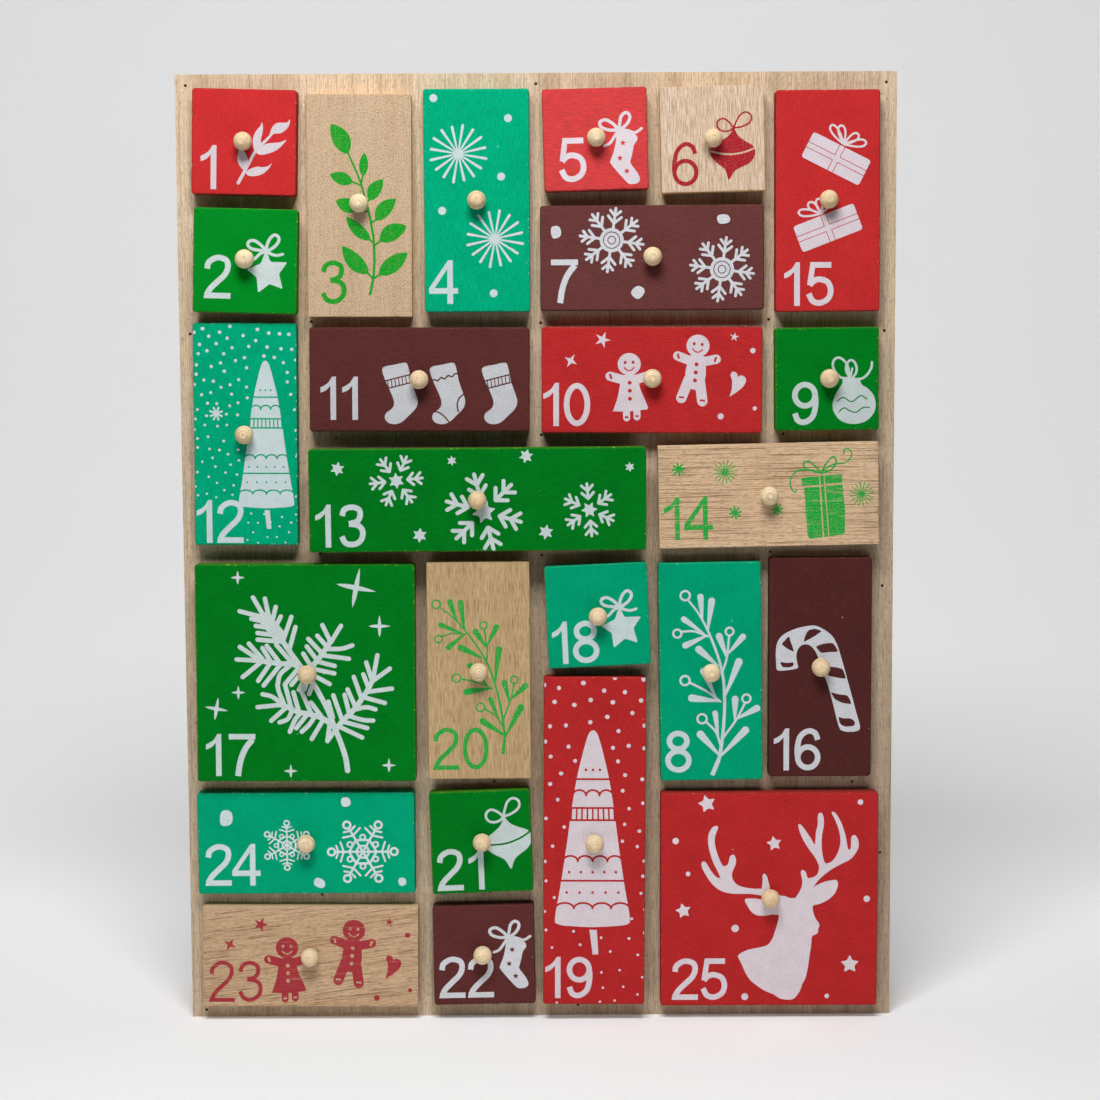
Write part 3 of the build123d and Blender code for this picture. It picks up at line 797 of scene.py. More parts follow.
def draw_stag(pen):
    """Stag's head, neck and antlers in silhouette."""
    neck = [
        (52, 46.3), (55, 45.4), (58, 45.6), (61.5, 46.2), (64.4, 43.6), (64.7, 41.5), (65, 39.2),
        (66, 36.5), (67.4, 34.5), (67.6, 33.2), (67.1, 32.2), (67.1, 31), (66.7, 30), (65.5, 29.3),
        (64.5, 28.6), (64.2, 25), (63.5, 20), (62.8, 15), (61.8, 10.5), (60.5, 8), (59.5, 5), (58, 2.8),
        (56.5, 1.5), (54, 1.2), (51, 1.8), (48, 3.7), (44.5, 5.2), (41, 7.5), (38, 10.2), (36, 13.5),
        (34.5, 17), (33.1, 19.8), (33.3, 20.8), (35, 22), (38, 23.2), (42, 24), (45.5, 25), (47.5, 27.5),
        (48.8, 31), (49.8, 34.5), (50.4, 38), (50, 42),
    ]
    left_ear = [
        (52, 38.9), (47.5, 38.3), (44, 37.8), (41, 38), (38.7, 39.5), (37, 42), (35.9, 44.3), (36.5, 45.2),
        (40, 45.3), (43.5, 44.8), (47, 45), (52, 46.4),
    ]
    right_ear = [
        (61.2, 46), (63.5, 48.8), (66.5, 51), (70, 52.5), (74, 53.2), (75.2, 52.5), (75.3, 50.3),
        (74, 47.3), (71.5, 44.8), (68, 43), (65.3, 42.3), (63, 41.5),
    ]
    left_antler = [
        (47, 49), (43, 49.5), (40, 49.5), (36, 50), (33, 51), (31, 53), (30.3, 55.5), (31, 58), (32, 60.5),
        (31.8, 63), (30.9, 64.2), (29.5, 63.5), (29, 61.5), (28.5, 60), (27.5, 59.4), (26.5, 59.5),
        (25.3, 61.5), (24, 65), (23, 69), (23.2, 72.5), (24.4, 75.8), (23.5, 76.7), (21.8, 75.8),
        (20.3, 72.8), (20.2, 69), (21, 65), (22.3, 61), (24, 57.5), (25.3, 54.5), (24.3, 54.3),
        (22.8, 55.5), (21, 58), (19.5, 60.5), (18.3, 61.4), (17.4, 60.5), (17.7, 58.5), (19.5, 55),
        (22, 51.5), (25, 49), (28.5, 47.7), (32, 47.3), (37, 47.3), (41, 46.9), (47, 46),
    ]
    brow = [(43.2, 48.5), (43.4, 53), (43.3, 55), (43.9, 56), (45, 55.2), (45.7, 53), (46.4, 48.5)]
    right_antler = [
        (57.5, 45), (59, 48), (60, 50.5), (60.2, 53), (59.6, 56), (59.8, 57.3), (60.8, 57.4), (61.8, 56.3),
        (62.3, 54.5), (63.2, 54), (65, 54.5), (66.7, 55.8), (67.3, 58.5), (66.8, 60.5), (65.5, 63),
        (63, 66.5), (60.5, 70.5), (59, 74), (58.4, 76.8), (58.9, 77.3), (60, 76.5), (62, 73.8), (64, 70.8),
        (65.4, 68.4), (65.7, 71), (65.9, 74), (66.6, 77), (66.6, 80.5), (67.2, 82), (68.3, 82), (69, 80.5),
        (69.2, 77), (68.5, 73), (68.3, 69), (68.6, 65), (69.4, 61.5), (70.2, 60.4), (71.3, 60.5),
        (73, 61.5), (74.8, 64), (76, 67.5), (76.3, 71), (75.5, 75), (74, 79), (72.5, 82), (73.2, 82.6),
        (74.5, 81.5), (76.3, 78.5), (77.8, 74.5), (78.8, 70.5), (79.4, 67), (80.1, 66.2), (80.7, 67),
        (80.8, 69.5), (80.9, 71.5), (81.8, 72.5), (83, 72), (83.9, 70), (84, 67.5), (83, 65), (80.5, 62),
        (77, 60.2), (73, 58), (70, 55.8), (67, 53), (64.5, 49.5), (62.5, 47), (61.5, 45),
    ]
    for outline in (neck, left_ear, right_ear, left_antler, brow, right_antler):
        pen.fill(smooth(outline, closed=True, steps=3))


def draw_figures(pen):
    """Two gingerbread figures, a heart and stars."""
    draw_gingerbread(pen.at(36.3, 28.4, 0.98, 1), True)
    draw_gingerbread(pen.at(64.9, 36, 0.98, -5), False)
    draw_heart(pen.at(78.1, 14.8))
    pen.star(25.2, 38.5, 3.5, 5, 0.36, 68)
    pen.star(12, 29.8, 3, 4, 0.34, 60)
    pen.star(80, 39.7, 2, 5, 0.36, 80)
    for x, y, radius in ((87.7, 34, 1.15), (88.7, 10, 0.9), (74.5, 6.7, 1.3)):
        pen.dot(x, y, radius)


def draw_blobs(pen, blobs):
    """Uneven round drops of snow: place, half width, half height, turn."""
    wobble = [
        (1, 0), (0.98, 48), (0.92, 95), (1.04, 140), (0.94, 185), (1.05, 235), (0.93, 280), (1.03, 325),
    ]
    for x, y, rx, ry, turn in blobs:
        edge = [(rx * k * math.cos(math.radians(a)), ry * k * math.sin(math.radians(a))) for k, a in wobble]
        pen.at(x, y, 1, turn).fill(smooth(edge, closed=True, steps=4))


def draw_dots(pen, dots):
    """Round dots: place and radius."""
    for dot in dots:
        pen.dot(*dot)


def draw_bursts(pen, turn, root, bursts):
    """Bursts with the same turn and root: place, radius, number of rays and their width."""
    for burst in bursts:
        pen.burst(*burst, turn, root)


def draw_sparkles(pen, sparkles):
    """Sparkles: place, radius and turn."""
    for sparkle in sparkles:
        pen.sparkle(*sparkle)


def draw_soft_stars(pen, points, stars):
    """Blunt stars with the same number of points: place, radius and turn."""
    for x, y, radius, turn in stars:
        pen.soft_star(x, y, radius, points, turn)


# What is printed on each front: motifs, each with its place (right, up, size, turn) and its own settings
HERE = (0, 0)
PICTURES = {
    1: [(draw_sprig, HERE)],
    2: [(draw_hung_star, (29.8, 26.8))],
    3: [(draw_leafy_branch, HERE)],
    4: [
        (draw_bursts, HERE, 12.5, 0.5, [(14, 65.8, 11.4, 16, 1.15), (28.9, 30.9, 11.4, 16, 1.15)]),
        (draw_dots, HERE, [
            (4, 88.5, 1.65), (34.7, 80.2, 1.65), (31.7, 56.4, 1.65), (7.2, 42.5, 1.65), (28.3, 8.5, 1.65),
        ]),
    ],
    5: [(draw_hung_stocking, (31.4, 25.6))],
    6: [(draw_finial, (30.4, 26.3), 0.68)],
    7: [
        (draw_ringed_snowflake, (29, 29)),
        (draw_ringed_snowflake, (74.7, 16.7)),
        (draw_blobs, HERE, [(5.9, 32.5, 2.2, 2.8, 0), (75.3, 37.4, 2.8, 2.1, 0), (39.8, 7.5, 2.8, 2.6, 40)]),
    ],
    8: [(draw_mistletoe, HERE, 0.95)],
    9: [(draw_round_bauble, HERE)],
    10: [(draw_figures, HERE)],
    11: [
        (draw_stocking, (30.1, 3.2), True),
        (draw_stocking, (49.9, 3.2), False),
        (draw_stocking, (71.6, 3.2), True),
    ],
    12: [
        (draw_snowfall, HERE, 43.3, 92, 12, 0.66, 3.7,
         [(18.5, 41, 14, 62), (23, 37, 60, 78.5), (0, 20.5, 0.5, 20.5), (5.5, 13, 52, 59)]),
        (draw_fir, (29.9, 16.4)),
        (draw_bursts, HERE, 22, 1, [(9.2, 55.5, 2.6, 8, 0.8)]),
    ],
    13: [
        (draw_loose_snowflake, (36.2, 29.8), 6),
        (draw_loose_snowflake, (72.6, 16.6, 1.46), -16),
        (draw_loose_snowflake, (116.7, 17), 35),
        (draw_soft_stars, HERE, 6, [
            (11.7, 35, 3, 80), (59.5, 38, 2.1, 95), (90.5, 39.7, 3, 75), (45.7, 6.9, 3.1, 85),
            (98.5, 7.8, 3.2, 80), (133.7, 34.8, 2.1, 95),
        ]),
    ],
    14: [
        (draw_gift_box, HERE),
        (draw_bursts, HERE, 8, 1, [
            (8.5, 33.3, 2.5, 8, 0.8), (28, 31.7, 4.9, 16, 0.42), (32, 14.6, 2.4, 8, 0.75),
            (49.5, 15.7, 2.2, 8, 0.75), (85, 21.3, 5, 16, 0.42),
        ]),
    ],
    15: [
        (draw_gift, (25.4, 63.5, 1, -27), (0.2, 6.6), [(151, 9.4), (126, 7.8), (61, 7.2), (31, 9.2)]),
        (draw_gift, (22.1, 35.2, 1, 20.8), (-0.5, 6.5), [(156, 9.4), (120, 6.8), (80, 6.2), (40, 7)]),
    ],
    16: [(draw_candy_cane, HERE)],
    17: [
        (draw_fir_branch, HERE),
        (draw_sparkles, HERE, [
            (17.7, 86.4, 2.9, 0), (67.3, 82, 8.5, -11), (77, 65.8, 4.6, 0), (17.3, 37.7, 2.9, 0),
            (8, 30.8, 4.9, -10), (39, 4.2, 2.9, 0), (80.5, 6.6, 3, 0),
        ]),
    ],
    18: [(draw_hung_star, (30.8, 24.6))],
    19: [
        (draw_snowfall, HERE, 43.3, 141, 19, 0.86, 6.2,
         [(5, 37.5, 32, 70), (9, 33, 68, 100), (14, 28, 98, 119.5), (0, 24, 1, 22)]),
        (draw_fir, (20.9, 34, 1.376)),
    ],
    20: [(draw_mistletoe, (12.8, 3.9, 0.9, 15.3), 0.75)],
    21: [(draw_finial, (31.5, 31.5, 1.07, 12.3), 1)],
    22: [(draw_hung_stocking, (32.1, 28.1))],
    23: [(draw_figures, (-0.4, -4))],
    24: [
        (draw_lace_snowflake, (36.6, 19.9, 0.72), 0.95, 90),
        (draw_lace_snowflake, (68.8, 17), 0.95, 0),
        (draw_blobs, HERE, [
            (11, 31.8, 2.8, 3.7, -10), (61.8, 38.5, 2.1, 2.2, 0), (50.2, 3.6, 2.6, 2.1, -30),
            (85.4, 4, 1.7, 1.9, 0),
        ]),
    ],
    25: [
        (draw_stag, HERE),
        (draw_soft_stars, HERE, 5, [
            (19.6, 86.2, 3.8, 105), (48.2, 69, 3.2, 100), (9.7, 40, 3.3, 102), (80.7, 16.6, 3.9, 91),
        ]),
        (draw_dots, HERE, [
            (6.4, 70.2, 1.4), (84.6, 86.7, 1.2), (11.7, 56, 1), (87.7, 45, 1.4), (31.8, 32.3, 1.6),
            (36, 2.6, 1.5), (71, 2.8, 1),
        ]),
    ],
}

# Numbers: height of the foot, then the left edge of each digit
NUMBERS = {
    1: (2.6, 3.8), 2: (6.7, 3.9), 3: (4.9, 5), 4: (4.2, 1.5), 5: (4.9, 6.2), 6: (3.1, 4.6), 7: (3.2, 3.8),
    8: (2.9, 2), 9: (2.1, 7.1), 10: (2.6, 0.6, 9.1), 11: (5, 4.5, 13.6), 12: (1.4, 0.6, 8.8),
    13: (2.1, 2.1, 12), 14: (3.6, 2.2, 10.6), 15: (3.2, 4, 13), 16: (1.8, 2, 10.8), 17: (2.1, 3.3, 13),
    18: (1.4, 1.9, 10.4), 19: (2.5, 0.9, 10), 20: (4, 1.5, 14.4), 21: (0.4, 2, 15.8), 22: (2.1, 2, 14.2),
    23: (0.8, 2, 14.6), 24: (2.6, 1.5, 13.2), 25: (1.3, 4.6, 17),
}
THIN_NUMBERS = {3: 2.05, 6: 1.75, 14: 2.05, 20: 1.9, 23: 1.75}


class Front:
    """A drawer front's place, from its CAD node: lower left corner of its face, size and turn."""

    def __init__(self, number):
        self.number = number
        self.body = f"drawer_{number:02d}"
        self.node = f"{self.body}_front"
        self.tray_node = f"{self.body}_tray_and_knob"
        self.colour = next((name for name, members in PAINTS.items() if number in members), "bare")
        painted = self.colour != "bare"
        self.corner = PAINTED_CORNER if painted else BARE_CORNER
        self.rim = PAINTED_RIM if painted else BARE_RIM
        low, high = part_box(self.node)
        turn = math.radians(TURNS[number])
        cos, sin = math.cos(turn), abs(math.sin(turn))
        wide = (high.x - low.x) / MM - 2 * self.corner
        tall = (high.z - low.z) / MM - 2 * self.corner
        self.width = (wide * cos - tall * sin) / (cos**2 - sin**2) + 2 * self.corner
        self.height = (tall * cos - wide * sin) / (cos**2 - sin**2) + 2 * self.corner
        self.thickness = (high.y - low.y) / MM
        right = Vector((math.cos(turn), 0, math.sin(turn)))
        up = Vector((-math.sin(turn), 0, math.cos(turn)))
        out = Vector((0, -1, 0))
        middle = Vector(((low.x + high.x) / 2, low.y, (low.z + high.z) / 2))
        origin = middle - right * self.width / 2 * MM - up * self.height / 2 * MM
        self.place = Matrix((right, up, out)).transposed().to_4x4()
        self.place.translation = origin

    def looks(self):
        """How this front's paint differs from the others: its tone with painted light, its painted sheen, its
        brush lines.
        """
        return {
            "tone": TONES_AND_PAINTED_LIGHT.get(self.number, 1.0),
            "painted_sheen": PAINTED_SHEENS.get(self.number, 0.0),
            "level_lines": LEVEL_LINES.get(self.number, 0.0),
            "upright_lines": UPRIGHT_LINES.get(self.number, 0.0),
        }


# Meshes

def new_piece(name, mesh, material, place, body):
    """An object made of a bmesh that rides on a body."""
    data = bpy.data.meshes.new(name)
    mesh.to_mesh(data)
    mesh.free()
    data.materials.append(material)
    piece = bpy.data.objects.new(name, data)
    bpy.context.scene.collection.objects.link(piece)
    piece.matrix_world = place
    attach(piece, body)
    return piece


def loft(mesh, loops):
    """Faces between closed rows of vertices, and a flat face at each end."""
    for lower, upper in zip(loops, loops[1:]):
        for i in range(len(lower)):
            j = (i + 1) % len(lower)
            mesh.faces.new((lower[i], lower[j], upper[j], upper[i]))
    mesh.faces.new(loops[-1])
    mesh.faces.new(loops[0][::-1])


def clipped(points, front):
    """The part of an outline that lies on the front's face."""
    right = front.width - PRINT_MARGIN
    top = front.height - PRINT_MARGIN
    for facing, limit in ((1, -PRINT_MARGIN), (-1, right), (-1j, -PRINT_MARGIN), (1j, top)):
        kept = []
        for a, b in zip(points, points[1:] + points[:1]):
            inside = [limit + (p * facing).real for p in (a, b)]
            if inside[0] >= 0:
                kept.append(a)
            if inside[0] * inside[1] < 0:
                kept.append(a + (b - a) * inside[0] / (inside[0] - inside[1]))
        points = kept
    return points


def draw_print(front):
    """The shapes of the front's picture and number, as far as they lie on its face."""
    pen = Pen().at(*PRINT_SHIFTS[front.number])
    for draw, place, *settings in PICTURES[front.number]:
        draw(pen.at(*place), *settings)
    foot, *lefts = NUMBERS[front.number]
    for digit, left in zip(str(front.number), lefts):
        draw_digit(pen.at(left, foot), digit, THIN_NUMBERS.get(front.number, DIGIT_STROKE))
    shapes = [(clipped(points, front), ink) for points, ink in pen.shapes]
    return [(points, ink) for points, ink in shapes if len(points) > 2]


def make_print(front, material):
    """The front's number and picture as a thin layer of ink on its face."""
    shapes = draw_print(front)
    places = []
    faces = []
    for points, _ in shapes:
        faces.append(list(range(len(places), len(places) + len(points))))
        places += [Vector((p.real, p.imag)) for p in points]
    spots, _, triangles, _, _, owners = delaunay_2d_cdt(places, [], faces, 1, SAME_PLACE, True)
    mesh = bmesh.new()
    tone = mesh.verts.layers.float.new("tone")
    vertices = {}
    for triangle, owner in zip(triangles, owners):
        if owner and shapes[max(owner)][1]:
            for i in triangle:
                if i not in vertices:
                    vertices[i] = mesh.verts.new((spots[i].x * MM, spots[i].y * MM, -INK_SINK * MM))
                    # The ink's tone per front carries painted shade
                    vertices[i][tone] = INK_TONES_AND_PAINTED_SHADE.get(front.number, 1.0)
            mesh.faces.new([vertices[i] for i in triangle])
    raised = bmesh.ops.extrude_face_region(mesh, geom=mesh.faces[:], use_keep_orig=True)
    for item in raised["geom"]:
        if isinstance(item, bmesh.types.BMVert):
            item.co.z = INK_LIFT * MM
    bmesh.ops.recalc_face_normals(mesh, faces=mesh.faces[:])
    new_piece(f"{front.body}_print", mesh, material, front.place, front.body)


def outline_points(front, inset):
    """A board's outline in short steps, anticlockwise, drawn in by inset, with the way out at each point."""
    round_off = max(front.corner - inset, SHARPEST_CORNER)
    pull = inset - front.corner + round_off
    half_w = front.width / 2 - front.corner
    half_h = front.height / 2 - front.corner
    points = []
    sides = ((1, -1, half_h), (1, 1, half_w), (-1, 1, half_h), (-1, -1, half_w))
    for k, (sx, sy, half) in enumerate(sides):
        facing = 90 * k
        middle = complex(sx * (half_w - pull), sy * (half_h - pull))
        for step in range(CORNER_STEPS):
            out = around(1, facing - 90 + 90 * step / CORNER_STEPS)
            points.append((middle + round_off * out, out))
        along = around(1, facing + 90)
        out = around(1, facing)
        count = max(1, round(2 * half / EDGE_STEP))
        for step in range(count):
            run = (2 * half - 2 * pull) * step / count
            points.append((middle + round_off * out + along * run, out))
    return points


def board_rows(front):
    """Rows of a board from its back to its face: inset, depth, wear and share of the side's look."""
    back = -front.thickness
    rows = [
        (0.0, back, 0.2, 1.0), (0.0, back + 0.4, 0.2, 1.0), (0.0, back / 2, 0.1, 1.0),
        (0.0, -front.rim, 0.6, 0.9),
    ]
    # The rim takes a share of the side's colour, which on bare boards is a painted highlight
    for k in range(1, RIM_STEPS + 1):
        angle = math.radians(90 * k / RIM_STEPS)
        inset = front.rim * (1 - math.cos(angle))
        depth = front.rim * (math.sin(angle) - 1)
        rows.append((inset, depth, 1.0, 0.8 * (1 - k / RIM_STEPS)))
    for inset, worn in ((0.4, 0.35), (1.2, 0.0), (3.0, 0.0)):
        rows.append((front.rim + inset, 0.0, worn, 0.0))
    return rows


def make_board(front, material):
    """The front's board: rounded corners and rim, slightly uneven edges and a few knocks."""
    pick = random.Random(BOARD_SEED + front.number)
    perimeter = 2 * (front.width + front.height)
    knocks = []
    for _ in range(max(FEWEST_KNOCKS, round(perimeter / KNOCK_EVERY))):
        knocks.append((pick.uniform(0, 1), pick.uniform(*KNOCK_LENGTHS), pick.uniform(*KNOCK_DEPTHS)))
    mesh = bmesh.new()
    wear = mesh.verts.layers.float.new("wear")
    side = mesh.verts.layers.float.new("side")
    even = {mesh.verts.layers.float.new(name): value for name, value in front.looks().items()}
    loops = []
    for inset, depth, worn, beside in board_rows(front):
        near_edge = max(0.0, 1 - inset / (front.rim + 1.0))
        near_face = max(0.0, 1 + depth / KNOCK_REACH)
        points = outline_points(front, inset)
        loop = []
        for i, (point, out) in enumerate(points):
            dent = 0.0
            for where, size, deep in knocks:
                apart = abs(i / len(points) - where) * perimeter
                dent = max(dent, deep * math.exp(-(apart / size) ** 2))
            spot = Vector((point.real * WAVER_SCALE, point.imag * WAVER_SCALE, front.number * WAVER_APART))
            waver = 0.5 + 0.5 * noise.noise(spot)
            pull = EDGE_WAVER * waver * near_edge + dent * near_edge * near_face
            sunk = depth - dent * KNOCK_DROP * near_edge * near_face
            place = point - out * pull + complex(front.width, front.height) / 2
            vertex = mesh.verts.new((place.real * MM, place.imag * MM, sunk * MM))
            vertex[wear] = min(1.0, worn + dent * KNOCK_WEAR * near_edge)
            vertex[side] = beside
            for layer, value in even.items():
                vertex[layer] = value
            loop.append(vertex)
        loops.append(loop)
    loft(mesh, loops)
    for face in mesh.faces:
        face.smooth = len(face.verts) == 4
    board = new_piece(f"{front.body}_board", mesh, material, front.place, front.body)
    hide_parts(front.node)


def knob_profile(ball, tip, tool_phase):
    """Radius and height of a knob from the foot of its neck to its flat tip, with rings left by the tool."""
    neck = KNOB_NECK_DIAMETER / 2
    rise = math.sqrt(ball**2 - neck**2)
    start = -math.asin(rise / ball)
    end = math.acos(tip / ball)
    profile = [(neck, -KNOB_SINK), (neck, KNOB_NECK_LENGTH * 0.6)]
    for k in range(KNOB_RINGS + 1):
        angle = start + (end - start) * k / KNOB_RINGS
        tooled = TOOL_DEPTH * math.sin(k * TOOL_STEP + tool_phase) if 4 < k < KNOB_RINGS - 1 else 0.0
        reach = ball - TOOL_MARGIN + tooled
        profile.append((reach * math.cos(angle), KNOB_NECK_LENGTH + rise + reach * math.sin(angle)))
    top = profile[-1][1]
    return profile + [(tip * 0.8, top - 0.02), (tip * 0.45, top - 0.06)]


def make_knob(front, material):
    """A turned ball, at or near the middle of its front."""
    pick = random.Random(KNOB_SEED + front.number)
    ball = KNOB_DIAMETER / 2 * pick.uniform(*BALL_SHARES)
    tip = KNOB_TIP_DIAMETER / 2 * pick.uniform(*TIP_SHARES)
    spin = pick.uniform(0, 2 * math.pi)
    turns = [spin + 2 * math.pi * k / KNOB_SEGMENTS for k in range(KNOB_SEGMENTS)]
    mesh = bmesh.new()
    loops = []
    for radius, height in knob_profile(ball, tip, front.number):
        ring = [(radius * math.cos(a) * MM, radius * math.sin(a) * MM, height * MM) for a in turns]
        loops.append([mesh.verts.new(place) for place in ring])
    loft(mesh, loops)
    for face in mesh.faces:
        face.smooth = True
    spot = Vector((front.width / 2, front.height / 2)) + Vector(KNOB_SHIFTS.get(front.number, (0.0, 0.0)))
    place = front.place @ Matrix.Translation((*(spot * MM), 0))
    new_piece(f"{front.body}_knob", mesh, material, place, front.body)


def add_slab(mesh, low, high):
    """A board with softened edges."""
    middle = (Vector(low) + Vector(high)) / 2
    size = Vector(high) - Vector(low)
    place = Matrix.Translation(middle) @ Matrix.Diagonal((*size, 1.0))
    made = bmesh.ops.create_cube(mesh, size=1.0, matrix=place)
    edges = list({edge for vertex in made["verts"] for edge in vertex.link_edges})
    bmesh.ops.bevel(mesh, geom=edges, offset=TRAY_EDGE * MM, segments=2, affect="EDGES", profile=0.5)


def make_tray(front, material):
    """Floor, two walls and a back, from the CAD node that also holds the knob."""
    low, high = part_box(front.tray_node)
    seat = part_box(front.node)[1].y
    wall = TRAY_WALL * MM
    base = low.z + TRAY_FLOOR * MM
    mesh = bmesh.new()
    add_slab(mesh, (low.x, seat, low.z), (high.x, high.y, base))
    add_slab(mesh, (low.x, seat, base), (low.x + wall, high.y, high.z))
    add_slab(mesh, (high.x - wall, seat, base), (high.x, high.y, high.z))
    add_slab(mesh, (low.x + wall, high.y - wall, base), (high.x - wall, high.y, high.z))
    place = Matrix.Identity(4)
    tray = new_piece(f"{front.body}_tray", mesh, material, place, front.body)
    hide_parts(front.tray_node)


# Materials

# Colours as 8-bit screen values. Each paint has its own, those of its sides and worn rim, and its white ink.
PAINT_LOOKS = {
    # The red's side colour is darker than thin red paint would be: painted shade on its lit top rim
    "red": ((187, 44, 45), (146, 50, 42), (206, 96, 78), (230, 222, 229)),
    "green": ((1, 119, 30), (70, 118, 28), (168, 178, 52), (214, 226, 226)),
    "turquoise": ((1, 158, 114), (44, 140, 104), (150, 214, 190), (217, 230, 234)),
    "brown": ((90, 46, 44), (84, 52, 44), (126, 78, 66), (220, 222, 227)),
}
GREEN_INK = (4, 150, 32)
DARK_GREEN_INK = (8, 160, 58)
RED_INK = (161, 24, 37)
DARK_RED_INK = (163, 48, 58)
DUST = (226, 214, 202)
KNOB_LIGHT = (238, 218, 180)
KNOB_DARK = (224, 198, 158)
KNOB_GROWTH = (192, 156, 112)
KNOB_RING = (176, 140, 98)
KNOB_PORE = (160, 122, 82)
PLY_LIGHT = (188, 152, 112)
PLY_DARK = (126, 90, 60)
WIRE_LIGHT = (62, 52, 46)
WIRE_DARK = (34, 28, 26)
PAPER_LIGHT = (243, 243, 244)
PAPER_DARK = (239, 239, 241)
DARK_ROOM = (40, 40, 40)

# Linear colours
PALE_FIBRE = (0.85, 0.76, 0.66, 1.0)
WHITE = (1.0, 1.0, 1.0, 1.0)

# Patterns, in waves per metre. Those of wood are across and along the grain.
WOOD_TONES = (95, 7)
WOOD_FIBRES = (2900, 130)
INK_STREAKS = (1200, 60)
PAINT_CLOUDS = 60
PAINT_TOOTH = 2300
BRUSH_ALONG = 240
BRUSH_ACROSS = 2400
RIM_CHIPS = 800
DUST_CELLS = 260
INK_PATCHES = 170
INK_FINE = 2300
INK_FINE_ON_WOOD = 2100
KNOB_GROWTH_RINGS = (700, 150, 700)
KNOB_TOOL_RINGS = 2300
KNOB_PORES = (2600, 700, 2600)
PLY_LAYERS = 620
PLY_FUZZ = 700
WIRE_SPOTS = 2600
PAPER_CLOUDS = 3

# Share of cells without dust, and how strongly the paint shows in the specks of the ink
DUST_RARITY = 0.94
INK_SPECKS = 0.3

# Painted light on the front panel's veneer, standing in for the lamp's light falling off: gain in lightness
# per metre to the right and upwards, the height below which it stays the same, and the height at which it
# has the tone of its grain
PANEL_LIGHT_TO_RIGHT = -0.55
PANEL_LIGHT_TO_TOP = 0.9
PANEL_LIGHT_FROM = 0.13
PANEL_LIGHT_EVEN = 0.27


def srgb(red, green, blue):
    """A linear colour from 8-bit screen values."""
    def linear(value):
        value /= 255
        return value / 12.92 if value <= 0.04045 else ((value + 0.055) / 1.055) ** 2.4
    return (linear(red), linear(green), linear(blue), 1.0)


class Surface:
    """A material with short ways to add nodes to it. Scales are per metre along X, Y and Z of the object."""

    def __init__(self, name, roughness, specular):
        self.material = bpy.data.materials.new(name)
        self.material.use_nodes = True
        self.tree = self.material.node_tree
        self.shader = self.tree.nodes["Principled BSDF"]
        self.shader.inputs["Roughness"].default_value = roughness
        self.shader.inputs["Specular IOR Level"].default_value = specular
        self.coordinates = self.node("ShaderNodeTexCoord").outputs["Object"]

    def node(self, kind, **settings):
        made = self.tree.nodes.new(kind)
        for name, value in settings.items():
            setattr(made, name, value)
        return made

    def put(self, value, socket):
        """Sets a socket, or links another socket to it."""
        if isinstance(value, bpy.types.NodeSocket):
            self.tree.links.new(value, socket)
        else:
            socket.default_value = value

    def joined(self, kind, *values, **settings):
        """The first output of a new node whose first inputs are the values."""
        made = self.node(kind, **settings)
        for value, socket in zip(values, made.inputs):
            self.put(value, socket)
        return made.outputs[0]

    def math(self, operation, *values):
        return self.joined("ShaderNodeMath", *values, operation=operation)

    def times(self, a, b):
        return self.math("MULTIPLY", a, b)

    def plus(self, a, b):
        return self.math("ADD", a, b)

    def less(self, a, b):
        return self.math("SUBTRACT", a, b)

    def vector_math(self, operation, *values):
        return self.joined("ShaderNodeVectorMath", *values, operation=operation)

    def parts(self, vector):
        """X, Y and Z of a vector."""
        split = self.node("ShaderNodeSeparateXYZ")
        self.put(vector, split.inputs[0])
        return split.outputs

    def scaled(self, scale, vector=None):
        """The object's coordinates, or another vector, times one scale or three."""
        scales = scale if isinstance(scale, tuple) else (scale, scale, scale)
        return self.vector_math("MULTIPLY", self.coordinates if vector is None else vector, scales)

    def noise(self, scale, detail, rough, distortion=0.0, vector=None):
        made = self.node("ShaderNodeTexNoise")
        self.put(self.scaled(scale, vector), made.inputs["Vector"])
        settings = {"Scale": 1.0, "Detail": detail, "Roughness": rough, "Distortion": distortion}
        for name, value in settings.items():
            made.inputs[name].default_value = value
        return made.outputs["Fac"]

    def band(self, value, start, end):
        """0 up to start, 1 from end, or falling where end is the lower."""
        made = self.node("ShaderNodeMapRange", interpolation_type="SMOOTHSTEP")
        self.put(value, made.inputs["Value"])
        rising = start < end
        made.inputs["From Min"].default_value = min(start, end)
        made.inputs["From Max"].default_value = max(start, end)
        made.inputs["To Min"].default_value = 0.0 if rising else 1.0
        made.inputs["To Max"].default_value = 1.0 if rising else 0.0
        return made.outputs["Result"]

    def mix(self, share, a, b):
        made = self.node("ShaderNodeMix", data_type="RGBA")
        self.put(share, made.inputs["Factor"])
        self.put(a, made.inputs["A"])
        self.put(b, made.inputs["B"])
        return made.outputs["Result"]

    def cover(self, colour, over, pattern, amount):
        """A colour covered by another where the pattern is, by up to the share amount."""
        return self.mix(self.times(pattern, amount), colour, over)

    def swing(self, value):
        """A noise as a swing from -1 to 1."""
        return self.times(self.less(self.band(value, 0.3, 0.7), 0.5), 2.0)

    def gained(self, colour, gain):
        """A colour made brighter or darker."""
        made = self.node("ShaderNodeVectorMath", operation="SCALE")
        self.put(colour, made.inputs[0])
        self.put(gain, made.inputs["Scale"])
        return made.outputs[0]

    def attribute(self, name):
        return self.node("ShaderNodeAttribute", attribute_name=name).outputs["Fac"]

    def colour(self, value):
        self.put(value, self.shader.inputs["Base Color"])

    def bump(self, height, depth):
        """Raises the surface by up to depth millimetres."""
        made = self.node("ShaderNodeBump")
        made.inputs["Strength"].default_value = 1.0
        made.inputs["Distance"].default_value = depth * MM
        self.put(height, made.inputs["Height"])
        self.put(made.outputs["Normal"], self.shader.inputs["Normal"])


